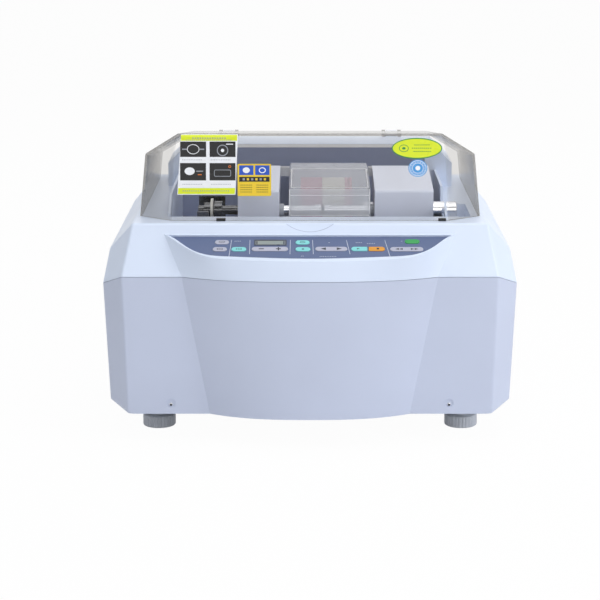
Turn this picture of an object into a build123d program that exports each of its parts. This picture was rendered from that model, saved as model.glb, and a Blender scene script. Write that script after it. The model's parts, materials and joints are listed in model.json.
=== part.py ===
from build123d import *
from math import atan2, cos, hypot, pi, radians, sin, sqrt
import os

# Optical lens edger, millimetres. X is the width, the front faces -Y, Z is up from the floor.

# ---- driving dimensions: body ----
wall = 3.0                    # moulded cover wall
seam_gap = 0.6                # shadow gap between the two covers
body_low = 38.0               # underside of the lower cover
seam_z = 223.5                # seam at the front
seam_side_z = 208.6           # seam along the sides
deck_z = 288.5                # top of the deck
rear_y = 229.0                # rear face of the covers
seam_half = 243.0             # front face half width at the seam
bottom_in = 4.3               # front face narrows by this much towards the bottom
bottom_half = seam_half - bottom_in
deck_in = 13.0                # and by this much towards the deck
deck_half = seam_half - deck_in
side_out = 27.0               # sides stand this much further out than the front face
side_half = seam_half + side_out
side_lean = 6.0               # sides come in by this much towards the bottom
side_low_z = 49.0
shoulder_in = 8.0             # shoulder edge lies this much inside the widest half width
shoulder_z = 251.0
cover_r = 5.0                 # rounding of the covers' edges
least_r = 0.5                 # smallest rounding inside a wall
front_seam_y = -213.0
front_low_y = -201.0
front_deck_y = -183.0
corner_y = -178.0             # where the corner facet meets the side, at the seam
rear_corner = 28.0            # chamfer of the rear corners

# ---- bulge and key panel ----
bulge_low_half, bulge_seam_half, bulge_top_half = 131.0, 165.0, 189.0
bulge_low_out, bulge_seam_out, bulge_top_out = 30.0, 32.0, 47.0
panel_z = 272.0               # upper straight edge of the key panel
panel_over = 4.0              # height of the bulge above that edge, before the panel cuts it
seam_over = 8.0               # each half of the bulge runs on past the seam, before the seam cuts it
panel_tilt = 27.0             # degrees from level
panel_half = 183.0
panel_deep = 48.5             # along the slope
overlay_t = 1.2
panel_gap = 0.3
lip = 2.6                     # raised lip along the panel's lower edge
key_travel = 0.6
key_rise = 0.7                # key top above the overlay
key_gap = 0.3
key_h = 8.4

# ---- well, rear housing and hood ----
well_left, well_right = -184.0, 212.0
well_front, well_rear = -134.0, 116.0
cheek_right = 178.0           # inner face of the right cheek
cheek_t = 3.0
cheek_z, cheek_front = 313.0, -97.0
liner_t = 2.5
liner_floor_z = 240.0
housing_half = 204.0
housing_z = 350.0
housing_slope_y = 196.0
housing_rear_z = 316.0
hood_t = 3.0
hood_r = 4.5                  # rounding of the hood's edges
hood_gap = 0.8                # hood above the deck, taken up by the rubber bumpers
hood_low_half, hood_mid_half, hood_top_half = 224.0, 216.0, 171.0
hood_face_half = 181.0        # flat front face, at its foot
hood_face_mid_half = 176.0
hood_front_y = -168.0
hood_mid_y = -163.0
hood_mid_z = 380.0
hood_top_z = 402.5
hood_corner_y = -133.0
hood_rear_y = 192.0
hood_rear_z = 358.5
hood_shoulder_z = 372.0
hinge_y, hinge_z = 208.0, 352.5
hinge_x = 120.0
hinge_pin_r = 2.5
run_fit = 0.05                # radial clearance of a running fit

# ---- feet ----
foot_x, foot_front_y, foot_rear_y = 204.0, -118.0, 188.0
foot_r, foot_h = 22.0, 16.0
foot_stem_r = 5.0
foot_neck_r, foot_neck_h = 12.0, 5.0
foot_boss, foot_boss_h = 5.0, 12.0      # wall and height of the boss that holds the stem
foot_ribs, foot_groove_r = 30, 1.0
foot_chamfer = 1.2

# ---- grinding wheel and drive ----
wheel_y, wheel_z, wheel_r = 20.0, 266.0, 50.0
wheel_edges = (-13.0, 17.0, 48.0, 58.0)
spindle_r = 9.0
spindle_left, spindle_right = -82.0, 91.0
bearing_r, bearing_w = 16.0, 16.0
bearing_lug, bearing_lug_t = 8.0, 6.0
bearing_left, bearing_right = -50.0, 82.0
pulley_x, pulley_w = -71.0, 14.0
spindle_pulley_r, motor_pulley_r = 14.0, 28.0
belt_t, belt_w, belt_gap = 2.0, 9.0, 0.3
motor_y, motor_z, motor_r, motor_len = 135.0, 112.0, 52.0, 120.0
motor_left = -46.0
motor_foot, motor_foot_half = (25.0, 95.0), 36.0
motor_shaft_r, shaft_in = 9.0, 28.0
supply_x, supply_y, supply_h = (104.0, 190.0), (60.0, 180.0), 55.0      # power supply
fin_pitch, fin_t, fin_h = 11.0, 4.0, 6.0

# ---- carriage ----
pivot_y, pivot_z = -60.0, 130.0
rail_r = 10.0
chuck_y, chuck_z, chuck_r = -80.0, 288.0, 6.0
cross_y, cross_z, cross_r = -68.0, 243.5, 5.0
gear_teeth = 24
left_arm = (-96.0, -41.0)
right_arm = (86.0, 164.0)
arm_front_y, arm_rear_y = -109.0, 20.0
arm_top_front_z, arm_top_rear_z = 319.5, 334.0
arm_low_z = 262.0
arm_tail_h = 25.0             # height of the covers at their rear
arm_knee_y, arm_knee_z = -35.0, 300.0
cover_t = 2.5
plate_t = 6.0
lens_x = 18.0                 # middle of the clamped lens
clamp_travel = 12.0
sleeve_r, sleeve_bore = 7.5, 3.5
knob_r = 11.5
knob_end, knob_cap = 196.5, 1.5         # outer end of the clamp knob and its end wall
knob_ring = 181.0                       # groove round the knob

# ---- inner splash cover ----
splash_left, splash_right = -28.0, 80.0
splash_t = 2.5
pin_y, pin_z = 10.0, 327.0      # splash cover's hinge pins

base_t = 4.0
base_lift = 1.0               # base plate above the covers' lower edge
base_gap = 0.7                # clearance in front of the base plate and behind it
base_side_gap = 3.1           # and at its sides, where the lower cover leans in
base_top = body_low + base_lift + base_t

parts = {}


def keep(name, shape):
    """Register one sub-part under its node name."""
    shape.label = name
    parts[name] = shape


def block(x0, x1, y0, y1, z0, z1):
    """Box between two corners."""
    return Pos((x0 + x1) / 2, (y0 + y1) / 2, (z0 + z1) / 2) * Box(x1 - x0, y1 - y0, z1 - z0)


def rod_x(x0, x1, y, z, r):
    """Cylinder along X."""
    return Pos((x0 + x1) / 2, y, z) * Rot(0, 90, 0) * Cylinder(r, x1 - x0)


def rod_y(x, y0, y1, z, r):
    """Cylinder along Y."""
    return Pos(x, (y0 + y1) / 2, z) * Rot(90, 0, 0) * Cylinder(r, y1 - y0)


def rod_z(x, y, z0, z1, r):
    """Cylinder along Z."""
    return Pos(x, y, (z0 + z1) / 2) * Cylinder(r, z1 - z0)


def slab_x(x0, x1, outline):
    """Prism along X from an outline of (y, z) points."""
    face = Plane.YZ * make_face(Polyline(*outline, close=True))
    return Pos(x0, 0, 0) * extrude(face, x1 - x0)


def outside(point, normal):
    """Everything on the far side of a plane, to be cut away."""
    plane = Plane(origin=point, z_dir=normal)
    return plane * Box(1600, 1600, 400, align=(Align.CENTER, Align.CENTER, Align.MIN))


def through(a, b, c, inside=(0, 0, 200), inset=0.0):
    """Far side of the plane through three points, moved inward by inset."""
    a, b, c = Vector(*a), Vector(*b), Vector(*c)
    normal = (b - a).cross(c - a).normalized()
    if normal.dot(Vector(*inside) - a) > 0:
        normal = -normal
    return outside(a - normal * inset, normal)


def mirrored(point):
    return (-point[0], point[1], point[2])


# ---------------------------------------------------------------- body covers
deck_corner = (deck_half, front_deck_y, deck_z)
seam_corner = (seam_half, front_seam_y, seam_z)
low_corner = (bottom_half, front_low_y, body_low)
seam_side = (side_half, corner_y, seam_side_z)


def body_planes(inset, upper):
    """Cutting halves of one cover's outer form, moved inward by inset."""
    planes = []
    if upper:
        planes.append(through(seam_corner, mirrored(seam_corner), deck_corner, inset=inset))
    else:
        planes.append(through(seam_corner, mirrored(seam_corner), low_corner, inset=inset))
    for flip in (lambda p: p, mirrored):
        if upper:
            facet = (deck_corner, seam_corner, seam_side)
            side = ((side_half - shoulder_in, 0, shoulder_z), (side_half, 0, seam_side_z), (side_half, 50, seam_side_z))
            bevel = (deck_corner, (deck_half, 50, deck_z), (side_half - shoulder_in, 0, shoulder_z))
        else:
            facet = (low_corner, seam_corner, seam_side)
            side = ((side_half - side_lean, 0, side_low_z), (side_half, 0, seam_side_z), (side_half, 50, seam_side_z))
            bevel = (low_corner, (bottom_half, 50, body_low), (side_half - side_lean, 0, side_low_z))
        corner = ((side_half, rear_y - rear_corner, 0), (side_half - rear_corner, rear_y, 0),
                  (side_half, rear_y - rear_corner, 100))
        for three in (facet, side, bevel, corner):
            planes.append(through(*[flip(p) for p in three], inset=inset))
    return planes


def eased(form, r, low, high, rear):
    """Round the edges whose middles lie between two heights and in front of a rear face."""
    middles = [(edge, edge.center()) for edge in form.edges()]
    return fillet([edge for edge, c in middles if low < c.Z < high and c.Y < rear], max(r, least_r))


def body_form(inset, upper):
    """Solid outer form of the upper or lower cover, before the bulge."""
    foot, high = (seam_side_z - 60, deck_z - inset) if upper else (body_low, seam_z + 40)
    low = foot - 30
    form = block(-side_half - 30, side_half + 30, front_low_y - 100, rear_y - inset, low, high)
    for half in body_planes(inset, upper):
        form -= half
    form = eased(form, cover_r - inset, low + 1, high + 1 if upper else high - 1, rear_y + 1)
    return form - block(-side_half - 30, side_half + 30, front_low_y - 100, rear_y + 1, low - 1, foot)


def front_y(z):
    """Y of the flat front at height z."""
    if z >= seam_z:
        return front_seam_y + (z - seam_z) / (deck_z - seam_z) * (front_deck_y - front_seam_y)
    return front_low_y + (z - body_low) / (seam_z - body_low) * (front_seam_y - front_low_y)


# share of the half width, and how far out the bulge is there at the seam and at the panel
bulge_line = ((1.0, 0.0, 0.0), (0.92, 0.20, 0.30), (0.86, 0.335, 0.56), (0.79, 0.47, 0.80), (0.72, 0.588, 0.92),
              (0.6, 0.748, 0.965), (0.35, 0.941, 0.99))


def bulge_section(z, half, out, y, boxy):
    """Closed plan outline of the bulge: a long crown, boxier towards the panel, that meets the front at an angle."""
    right = [(half * a, y - out * (low + boxy * (high - low))) for a, low, high in bulge_line]
    left = [(-x, v) for x, v in reversed(right)]
    crown = Spline(*right, (0, y - out), *left)
    back = Polyline(left[-1], (-half, y + 20), (half, y + 20), right[0])
    return Pos(0, 0, z) * make_face(Wire([crown, *back.edges()]))


def along(low, high, z):
    """Bulge section at height z, on the straight line through two others."""
    share = (z - low[0]) / (high[0] - low[0])
    return tuple(p + share * (q - p) for p, q in zip(low, high))


def bulge(low, high, inset):
    """Bulge between two sections given as (z, half width, how far out, y of the flat front, how boxy)."""
    ends = [(z, half - inset, out - inset, y, boxy) for z, half, out, y, boxy in (low, high)]
    return loft([bulge_section(*end) for end in ends], ruled=True)


bulge_foot = (body_low, bulge_low_half, bulge_low_out, front_low_y, 0)
bulge_seam = (seam_z, bulge_seam_half, bulge_seam_out, front_seam_y, 0)
bulge_head = (panel_z + panel_over, bulge_top_half, bulge_top_out, front_y(panel_z + panel_over), 1)


def seam_cut(z_shift, above):
    """Everything above or below the seam surface, which drops towards the sides."""
    drop = (seam_z - seam_side_z) / (side_half - seam_half)
    far = side_half + 40
    far_z = seam_z - drop * (far - seam_half)
    line = [(-far, far_z), (-seam_half, seam_z), (seam_half, seam_z), (far, far_z)]
    line = [(x, z + z_shift) for x, z in line]
    end = 900 if above else -300
    face = Plane.XZ * make_face(Polyline(*line, (far, end), (-far, end), close=True))
    return extrude(face, 400, both=True)


panel_n = Vector(0, -sin(radians(panel_tilt)), cos(radians(panel_tilt)))
panel_plane = Plane(origin=(0, front_y(panel_z), panel_z), x_dir=(1, 0, 0), z_dir=panel_n)


panel_line = ((0.93, 0.22), (0.87, 0.47), (0.80, 0.69), (0.72, 0.83), (0.59, 0.90), (0.35, 0.955))


def panel_face(grow):
    """Overlay outline on the panel plane, grown by grow."""
    half, deep = panel_half + 1.6 * grow, panel_deep + 1.6 * grow
    right = [(half, 0)] + [(half * a, -deep * b) for a, b in panel_line]
    left = [(-x, v) for x, v in reversed(right)]
    curve = Spline(*right, (0, -deep), *left)
    return panel_plane * Pos(0, grow) * make_face(Wire([curve, Line(left[-1], right[0])]))


def upper_form(inset):
    """Upper cover's form with its bulge, cut level with the panel's lip (or under the panel, inside)."""
    crown = bulge(along(bulge_seam, bulge_head, seam_z - seam_over), bulge_head, inset)
    top = lip if inset == 0 else -overlay_t - inset
    crown -= outside(panel_plane.origin + panel_n * top, panel_n)
    return body_form(inset, True) + crown


def lower_form(inset):
    return body_form(inset, False) + bulge(
        bulge_foot, along(bulge_foot, bulge_seam, seam_z + seam_over), inset)


def on_panel(x, v, z):
    """Place on the key panel: x across, v down the slope, z out of it."""
    return panel_plane * Pos(x, -v, z)


def pill(length, height, radius):
    return RectangleRounded(length, height, radius)


# single keys: name, x, v, length; double keys rock about their middle
single_keys = (
    ("key_mode", -113.3, 11.5, 18.0), ("key_type", -115.6, 26.2, 18.0), ("key_material", -91.2, 26.2, 19.0),
    ("key_size_set", -9.6, 12.0, 18.0), ("key_polish", -9.1, 26.2, 19.0), ("key_start", 63.1, 25.6, 20.6),
    ("key_stop", 85.6, 25.6, 20.6), ("key_power", 131.5, 10.0, 19.0))
double_keys = (("key_minus_plus", -51.5, 25.8, 46.5), ("key_left_right", 27.3, 25.6, 41.0),
               ("key_rewind_forward", 123.9, 26.2, 42.4))
all_keys = single_keys + double_keys
display_x, display_v, display_w, display_h = -51.0, 12.2, 39.5, 9.6
key_flange, key_flange_t = 1.4, 1.0
rock_flange = 12.0                          # length of a double key's flange, at its middle
rock_rib = 0.85                             # radius of the rib that a double key rocks on
key_under = overlay_t + wall + 0.2          # from the panel plane down to the top of a key's flange
board_top = key_under + key_flange_t + key_travel + 0.3
board_t = 1.6
board_outline = ((-146, -4), (146, -4), (146, -14), (122, -34), (-122, -34), (-146, -14))
board_posts = ((-137, 8), (-76, 8), (10, 8), (108, 6))


square_end = {"key_start": 1, "key_stop": -1}     # the start and stop keys sit side by side


def key_outline(name, length, gap):
    """Round-ended key, or square at the end where it faces its neighbour."""
    outline = pill(length + 2 * gap, key_h + 2 * gap, key_h / 2 + gap - 0.01)
    end = square_end.get(name, 0)
    if end:
        outline += Pos(end * length / 4, 0) * Rectangle(length / 2 + 2 * gap, key_h + 2 * gap)
    return outline


def key_holes(low, high, gap):
    """Prisms through which the keys pass."""
    holes = []
    for name, x, v, length in all_keys:
        holes.append(on_panel(x, v, low) * extrude(key_outline(name, length, gap), high - low))
    return holes


def make_keys():
    doubles = [key[0] for key in double_keys]
    for name, x, v, length in all_keys:
        cap = on_panel(x, v, -key_under) * extrude(key_outline(name, length, 0), key_under + key_rise)
        top = cap.faces().sort_by(Axis(panel_plane.origin, panel_n))[-1]
        cap = fillet(top.edges(), 0.35)
        flange_len = rock_flange if name in doubles else length - 4
        key = cap + on_panel(x, v, -key_under - key_flange_t) * extrude(
            RectangleRounded(flange_len, key_h + 2 * key_flange, 1.5), key_flange_t)
        if name in doubles:
            key += on_panel(x, v, -key_under - key_flange_t) * Rot(90, 0, 0) * Cylinder(rock_rib, key_h)
        keep(name, key)


def make_panel():
    overlay = extrude(panel_face(0), -overlay_t, dir=panel_n)
    for hole in key_holes(-overlay_t - 1, 2, key_gap):
        overlay -= hole
    window = on_panel(display_x, display_v, -overlay_t - 1) * Box(
        display_w + 0.2, display_h + 0.2, 6, align=(Align.CENTER, Align.CENTER, Align.MIN))
    keep("control_panel", overlay - window)
    keep("display_window", on_panel(display_x, display_v, -overlay_t) * Box(
        display_w, display_h, overlay_t - 0.1, align=(Align.CENTER, Align.CENTER, Align.MIN)))
    sheet = make_face(Polyline(*board_outline, close=True))
    board = on_panel(0, 0, -board_top - board_t) * extrude(sheet, board_t)
    for x, v in board_posts:
        board += on_panel(x, v, -board_top) * Cylinder(
            3, board_top - overlay_t - wall, align=(Align.CENTER, Align.CENTER, Align.MIN))
    keep("key_board", board)


scoop_half, scoop_drop, scoop_deep = 31.0, 11.0, 1.6
skirt_t = 2.5
knob_pocket_z, knob_pocket_y = 270.0, -36.0     # floor and rear wall of the pocket round the clamp knob
knob_pocket_front = -111.0
cheek_gap = 0.4               # cheeks stop this far in front of the slate rear wall
way_in = 15.0                 # margin round the cable way under the rear housing
recess_x, recess_z, recess_r, recess_deep = 182.0, 53.0, 5.8, 1.2


def finger_scoop():
    """Shallow round recess at the middle of the deck's front edge."""
    slope = Vector(0, front_deck_y - front_seam_y, deck_z - seam_z).normalized()
    out = Vector(0, -slope.Z, slope.Y)
    r = (scoop_half ** 2 + scoop_drop ** 2) / (2 * scoop_drop)
    centre = Vector(0, front_deck_y, deck_z) + slope * (r - scoop_drop) - out * scoop_deep
    disc = Plane(origin=centre, z_dir=out) * Cylinder(r, 30, align=(Align.CENTER, Align.CENTER, Align.MIN))
    return disc


def cheek_outline(foot_z):
    """Side view of one of the well's white cheeks."""
    rear = well_rear - cheek_gap
    return [(well_front, foot_z), (well_front, deck_z + 3), (cheek_front, cheek_z), (rear, cheek_z), (rear, foot_z)]


def make_upper_cover():
    cover = upper_form(0) - upper_form(wall) - seam_cut(seam_gap / 2, False)
    pocket = extrude(panel_face(panel_gap), 30, dir=panel_n)
    cover -= pocket
    cover -= extrude(panel_face(panel_gap), -overlay_t, dir=panel_n)
    for hole in key_holes(-overlay_t - wall - 3, 2, key_gap):
        cover -= hole
    # well opening, knob pocket and the cable way under the rear housing
    cover -= block(well_left - cheek_t, cheek_right + cheek_t, well_front, well_rear + 3, deck_z - 20, deck_z + 5)
    cover -= block(cheek_right, well_right, well_front, knob_pocket_y, deck_z - 20, deck_z + 5)
    cover -= block(-housing_half + way_in, housing_half - way_in, well_rear + way_in, rear_y - 24,
                   deck_z - 20, deck_z + 5)
    cover -= finger_scoop()
    skirts = block(well_left - cheek_t, well_right + skirt_t, well_front - skirt_t, well_front,
                   liner_floor_z, deck_z)
    skirts += slab_x(well_left - cheek_t, well_left, cheek_outline(liner_floor_z))
    right = slab_x(cheek_right, cheek_right + cheek_t, cheek_outline(knob_pocket_z - skirt_t))
    right -= block(cheek_right - 1, cheek_right + cheek_t + 1, knob_pocket_front, knob_pocket_y,
                   knob_pocket_z, cheek_z + 5)
    skirts += right
    tub = block(cheek_right, well_right + skirt_t, well_front - skirt_t, knob_pocket_y + skirt_t,
                knob_pocket_z - skirt_t, deck_z - 1)
    tub -= block(cheek_right - 1, well_right, well_front, knob_pocket_y, knob_pocket_z, deck_z + 1)
    tub -= block(cheek_right - 1, cheek_right + cheek_t, well_front, knob_pocket_y, knob_pocket_z - 5, deck_z)
    keep("upper_cover", cover + skirts + tub)


rear_panel_half, rear_panel_low, rear_panel_high = 188.0, 56.0, 196.0
rear_panel_t, rear_panel_lap = 2.0, 8.0


def make_lower_cover():
    cover = lower_form(0) - lower_form(wall) - seam_cut(-seam_gap / 2, True)
    cover -= block(-rear_panel_half, rear_panel_half, rear_y - 10, rear_y + 5, rear_panel_low, rear_panel_high)
    for side in (-1, 1):
        y = front_y(recess_z)
        cover -= rod_y(side * recess_x, y - 5, y + recess_deep, recess_z, recess_r)
    keep("lower_cover", cover)


def make_base():
    half = bottom_half - wall - base_side_gap
    plate = block(-half, half, front_low_y + wall + base_gap, rear_y - wall - base_gap,
                  body_low + base_lift, base_top)
    for x, y in foot_places():
        plate += rod_z(x, y, base_top, base_top + foot_boss_h, foot_stem_r + foot_boss)
        plate -= rod_z(x, y, body_low, base_top + foot_boss_h + 1, foot_stem_r + run_fit)
    keep("base_plate", plate)


def foot_places():
    return [(sx * foot_x, y) for y in (foot_front_y, foot_rear_y) for sx in (-1, 1)]


def make_feet():
    names = ("foot_front_left", "foot_front_right", "foot_rear_left", "foot_rear_right")
    for name, (x, y) in zip(names, foot_places()):
        wheel = Cylinder(foot_r, foot_h, align=(Align.CENTER, Align.CENTER, Align.MIN))
        wheel = chamfer(wheel.edges().filter_by(GeomType.CIRCLE), foot_chamfer)
        groove = Cylinder(foot_groove_r, foot_h + 2, align=(Align.CENTER, Align.CENTER, Align.MIN))
        for k in range(foot_ribs):
            wheel -= Rot(0, 0, 360 / foot_ribs * k) * Pos(foot_r + foot_groove_r / 4, 0, -1) * groove
        neck = rod_z(0, 0, foot_h, foot_h + foot_neck_h, foot_neck_r)
        stem = rod_z(0, 0, foot_h, base_top + foot_boss_h - 2, foot_stem_r)
        keep(name, Pos(x, y, 0) * (wheel + neck + stem))


# ---------------------------------------------------------------- rear housing and liner
housing_bevel_x, housing_bevel_z = 176.0, 322.0
housing_lip = 5.5             # white edge above the slate rear wall
housing_miter = 0.4           # how much of an inset the bevel's corners take up


def housing_outline(t):
    """Front view of the rear housing, inset by t; it reaches below the deck, where it is cut off."""
    side, top, foot = housing_half - t, housing_z - t, deck_z - 30
    bevel_x, bevel_z = housing_bevel_x - t * housing_miter, housing_bevel_z - t * housing_miter
    return [(-side, foot), (-side, bevel_z), (-bevel_x, top), (bevel_x, top), (side, bevel_z), (side, foot)]


def housing_form(t, y0):
    face = Plane.XZ * make_face(Polyline(*housing_outline(t), close=True))
    form = Pos(0, y0, 0) * extrude(face, -(rear_y - t - y0))
    slope = (Vector(0, rear_y, housing_rear_z), Vector(0, housing_slope_y, housing_z))
    return form - through(slope[0], slope[1], slope[0] + Vector(50, 0, 0), inset=t)


window_right = 165.0          # the slate rear wall ends here, the right arm hides the rest
window_bevel = 8.0
liner_gap = 0.3
bay_right, curb_rear, curb_h, curb_t = -114.0, -70.0, 8.0, 3.0          # left bay's floor and its low curb


def window_face(gap):
    """Opening in the housing's front that the slate rear wall fills, shrunk by gap."""
    left, right, top = well_left + gap, window_right - gap, housing_z - housing_lip - gap
    return Plane.XZ * make_face(Polyline(
        (left, deck_z - 1), (left, top - window_bevel), (left + window_bevel, top), (right, top),
        (right, deck_z - 1), close=True))


def make_housing():
    front = well_rear + liner_gap
    shell = housing_form(0, front) - housing_form(wall, front + wall)
    shell -= block(-side_half, side_half, 0, rear_y + 1, deck_z - 60, deck_z)
    keep("rear_housing", shell - Pos(0, front - 1, 0) * extrude(window_face(0), -(wall + 2)))


def make_liner():
    liner = Pos(0, well_rear, 0) * extrude(window_face(liner_gap), -liner_t)
    liner += block(well_left + liner_gap, cheek_right - liner_gap, well_rear, well_rear + liner_t,
                   liner_floor_z, deck_z - liner_gap)
    liner += block(well_left + liner_gap, bay_right, well_front + liner_gap, well_rear + 1, liner_floor_z,
                   liner_floor_z + liner_t)
    liner += block(bay_right - curb_t, bay_right, well_front + liner_gap, curb_rear, liner_floor_z,
                   liner_floor_z + curb_h)
    keep("well_liner", liner)


# ---------------------------------------------------------------- hood
hood_low_z = deck_z + hood_gap


def hood_form(inset):
    lean = (hood_mid_y - hood_front_y) / (hood_mid_z - hood_low_z)
    a = (hood_face_half, hood_front_y, hood_low_z)
    b = (hood_face_mid_half, hood_mid_y, hood_mid_z)
    c = (hood_top_half, hood_mid_y + lean * (hood_top_z - hood_mid_z), hood_top_z)
    d = (hood_low_half, hood_corner_y, hood_low_z)
    e = (hood_mid_half, hood_corner_y, hood_shoulder_z)
    rear_top = (hood_top_half, hood_rear_y, hood_rear_z)
    low = hood_low_z - (20 if inset else 0)
    form = block(-240, 240, -200, hood_rear_y + (30 if inset else 0), low, 420)
    core = (0, 0, 320)
    form -= through(a, mirrored(a), b, core, inset)
    form -= through(c, mirrored(c), rear_top, core, inset)
    for flip in (lambda p: p, mirrored):
        side = (d, (hood_low_half, 50, hood_low_z), e)
        for three in (side, (e, c, rear_top), (a, b, d), (b, c, e)):
            form -= through(*[flip(p) for p in three], core, inset)
    return eased(form, hood_r - inset, low + 1, hood_top_z + 1, hood_rear_y - 1)


bumpers = ((-116.0, 12.0), (172.0, 10.0))      # x, width
bumper_h, bumper_deep, bumper_proud = 3.0, 5.5, 0.6
hinge_half, hinge_r, hinge_drop = 8.0, 5.0, 30.0       # hinge blocks on the rear housing
ear_x, ear_t, ear_r, ear_lap, ear_below = 11.5, 5.0, 5.5, 8.0, 1.5     # hood's hinge ears


def make_hood():
    hood = hood_form(0) - hood_form(hood_t)
    for side in (-1, 1):
        for ear in (-1, 1):
            x = side * hinge_x + ear * ear_x
            tab = rod_x(x - ear_t / 2, x + ear_t / 2, hinge_y, hinge_z, ear_r)
            tab += block(x - ear_t / 2, x + ear_t / 2, hood_rear_y - ear_lap, hinge_y, hinge_z - ear_below,
                         hinge_z + ear_r)
            hood += tab
            hood -= rod_x(x - ear_t, x + ear_t, hinge_y, hinge_z, hinge_pin_r + run_fit)
    pads = None
    for x, width in bumpers:
        y, half, foot = hood_front_y, width / 2, deck_z + 0.3
        hood -= block(x - half, x + half, y - hood_t, y + bumper_deep + 0.5, hood_low_z - 2,
                      foot + bumper_h + 0.1)
        pad = block(x - half + 0.1, x + half - 0.1, y - bumper_proud, y + bumper_deep, foot, foot + bumper_h)
        pads = pad if pads is None else pads + pad
    keep("hood", hood)
    keep("hood_bumpers", pads)
    blocks = None
    for side in (-1, 1):
        x = side * hinge_x
        piece = rod_x(x - hinge_half, x + hinge_half, hinge_y, hinge_z, hinge_r)
        piece += block(x - hinge_half, x + hinge_half, hinge_y - hinge_r, hinge_y + hinge_r,
                       hinge_z - hinge_drop, hinge_z)
        piece -= housing_form(0, well_rear)
        reach = ear_x + ear_t / 2 + 0.5
        piece += rod_x(x - reach, x + reach, hinge_y, hinge_z, hinge_pin_r)
        blocks = piece if blocks is None else blocks + piece
    keep("hood_hinges", blocks)


# ---------------------------------------------------------------- grinding wheel and drive
basin_left, basin_right = -30.0, 66.0
basin_front, basin_rear = -116.0, 100.0
basin_floor, basin_rim, basin_back = 198.0, 228.0, 325.0
basin_t = 3.0
basin_legs_y, basin_leg_in, basin_leg_r = (-25.0, 60.0), 10.0, 5.0
drain_y, drain_h, drain_r = 80.0, 16.0, 8.0
nozzle_x, nozzle_z, nozzle_r = 20.0, 280.0, 4.0      # coolant nozzle on the splash back, aimed at the wheels
nozzle_tip, nozzle_collar = 71.0, 12.0


def make_basin():
    basin = block(basin_left, basin_right, basin_front, basin_rear, basin_floor, basin_rim)
    basin -= block(basin_left + basin_t, basin_right - basin_t, basin_front + basin_t, basin_rear - basin_t,
                   basin_floor + basin_t, basin_rim + 1)
    basin += block(basin_left, basin_right, basin_rear - basin_t, basin_rear, basin_floor, basin_back)
    for x in (basin_left + basin_leg_in, basin_right - basin_leg_in):
        for y in basin_legs_y:
            basin += rod_z(x, y, base_top, basin_floor, basin_leg_r)
    x = (basin_left + basin_right) / 2
    basin += rod_z(x, drain_y, basin_floor - drain_h, basin_floor, drain_r)
    basin -= rod_z(x, drain_y, basin_floor - drain_h - 1, basin_floor + basin_t + 1, drain_r - basin_t)
    basin += rod_y(nozzle_x, nozzle_tip, basin_rear, nozzle_z, nozzle_r)
    basin += rod_y(nozzle_x, basin_rear - nozzle_collar, basin_rear, nozzle_z, nozzle_r + 3)
    basin -= rod_y(nozzle_x, nozzle_tip - 1, basin_rear - nozzle_collar + 4, nozzle_z, nozzle_r / 2)
    keep("wheel_basin", basin)


def make_spindle():
    shaft = rod_x(spindle_left, spindle_right, wheel_y, wheel_z, spindle_r)
    rim = rod_x(pulley_x - pulley_w / 2, pulley_x + pulley_w / 2, wheel_y, wheel_z, spindle_pulley_r + 2)
    groove = rod_x(pulley_x - belt_w / 2 - 0.5, pulley_x + belt_w / 2 + 0.5, wheel_y, wheel_z, spindle_pulley_r + 3)
    core = rod_x(pulley_x - pulley_w / 2, pulley_x + pulley_w / 2, wheel_y, wheel_z, spindle_pulley_r)
    keep("wheel_spindle", shaft + (rim - groove) + core)
    names = ("rough_wheel", "fine_wheel", "polish_wheel")
    for name, x0, x1 in zip(names, wheel_edges, wheel_edges[1:]):
        wheel = rod_x(x0 + 0.1, x1 - 0.1, wheel_y, wheel_z, wheel_r)
        wheel -= rod_x(x0 - 1, x1 + 1, wheel_y, wheel_z, spindle_r)
        if name == "polish_wheel":
            cut = Plane.XZ * make_face(Polyline((x0 + 3, wheel_r + 1), (x0 + 5, wheel_r - 2),
                                                (x0 + 7, wheel_r + 1), close=True))
            wheel -= Pos(0, wheel_y, wheel_z) * revolve(cut, Axis.X)
        keep(name, wheel)
    mounts = None
    for x in (bearing_left, bearing_right):
        piece = block(x - bearing_w / 2, x + bearing_w / 2, wheel_y - bearing_r, wheel_y + bearing_r,
                      base_top, wheel_z)
        piece += rod_x(x - bearing_w / 2, x + bearing_w / 2, wheel_y, wheel_z, bearing_r)
        piece += block(x - bearing_w / 2 - bearing_lug, x + bearing_w / 2 + bearing_lug, wheel_y - bearing_r,
                       wheel_y + bearing_r, base_top, base_top + bearing_lug_t)
        piece -= rod_x(x - bearing_w, x + bearing_w, wheel_y, wheel_z, spindle_r + run_fit)
        mounts = piece if mounts is None else mounts + piece
    keep("spindle_bearings", mounts)


def belt_loop(extra):
    """Area inside the belt's inner face, grown by extra, as a face in the belt's plane."""
    small = (wheel_y, wheel_z, spindle_pulley_r + belt_gap + extra)
    large = (motor_y, motor_z, motor_pulley_r + belt_gap + extra)
    dy, dz = large[0] - small[0], large[1] - small[1]
    span, lean = hypot(dy, dz), atan2(dz, dy)
    open_angle = (large[2] - small[2]) / span
    corners = []
    for (y, z, r), signs in ((small, (1, -1)), (large, (-1, 1))):
        for s in signs:
            a = lean + s * (pi / 2 + sin(open_angle))
            corners.append((y + r * cos(a), z + r * sin(a)))
    face = make_face(Polyline(*corners, close=True))
    for y, z, r in (small, large):
        face += Pos(y, z, 0) * Circle(r)
    return Plane.YZ * face


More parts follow.
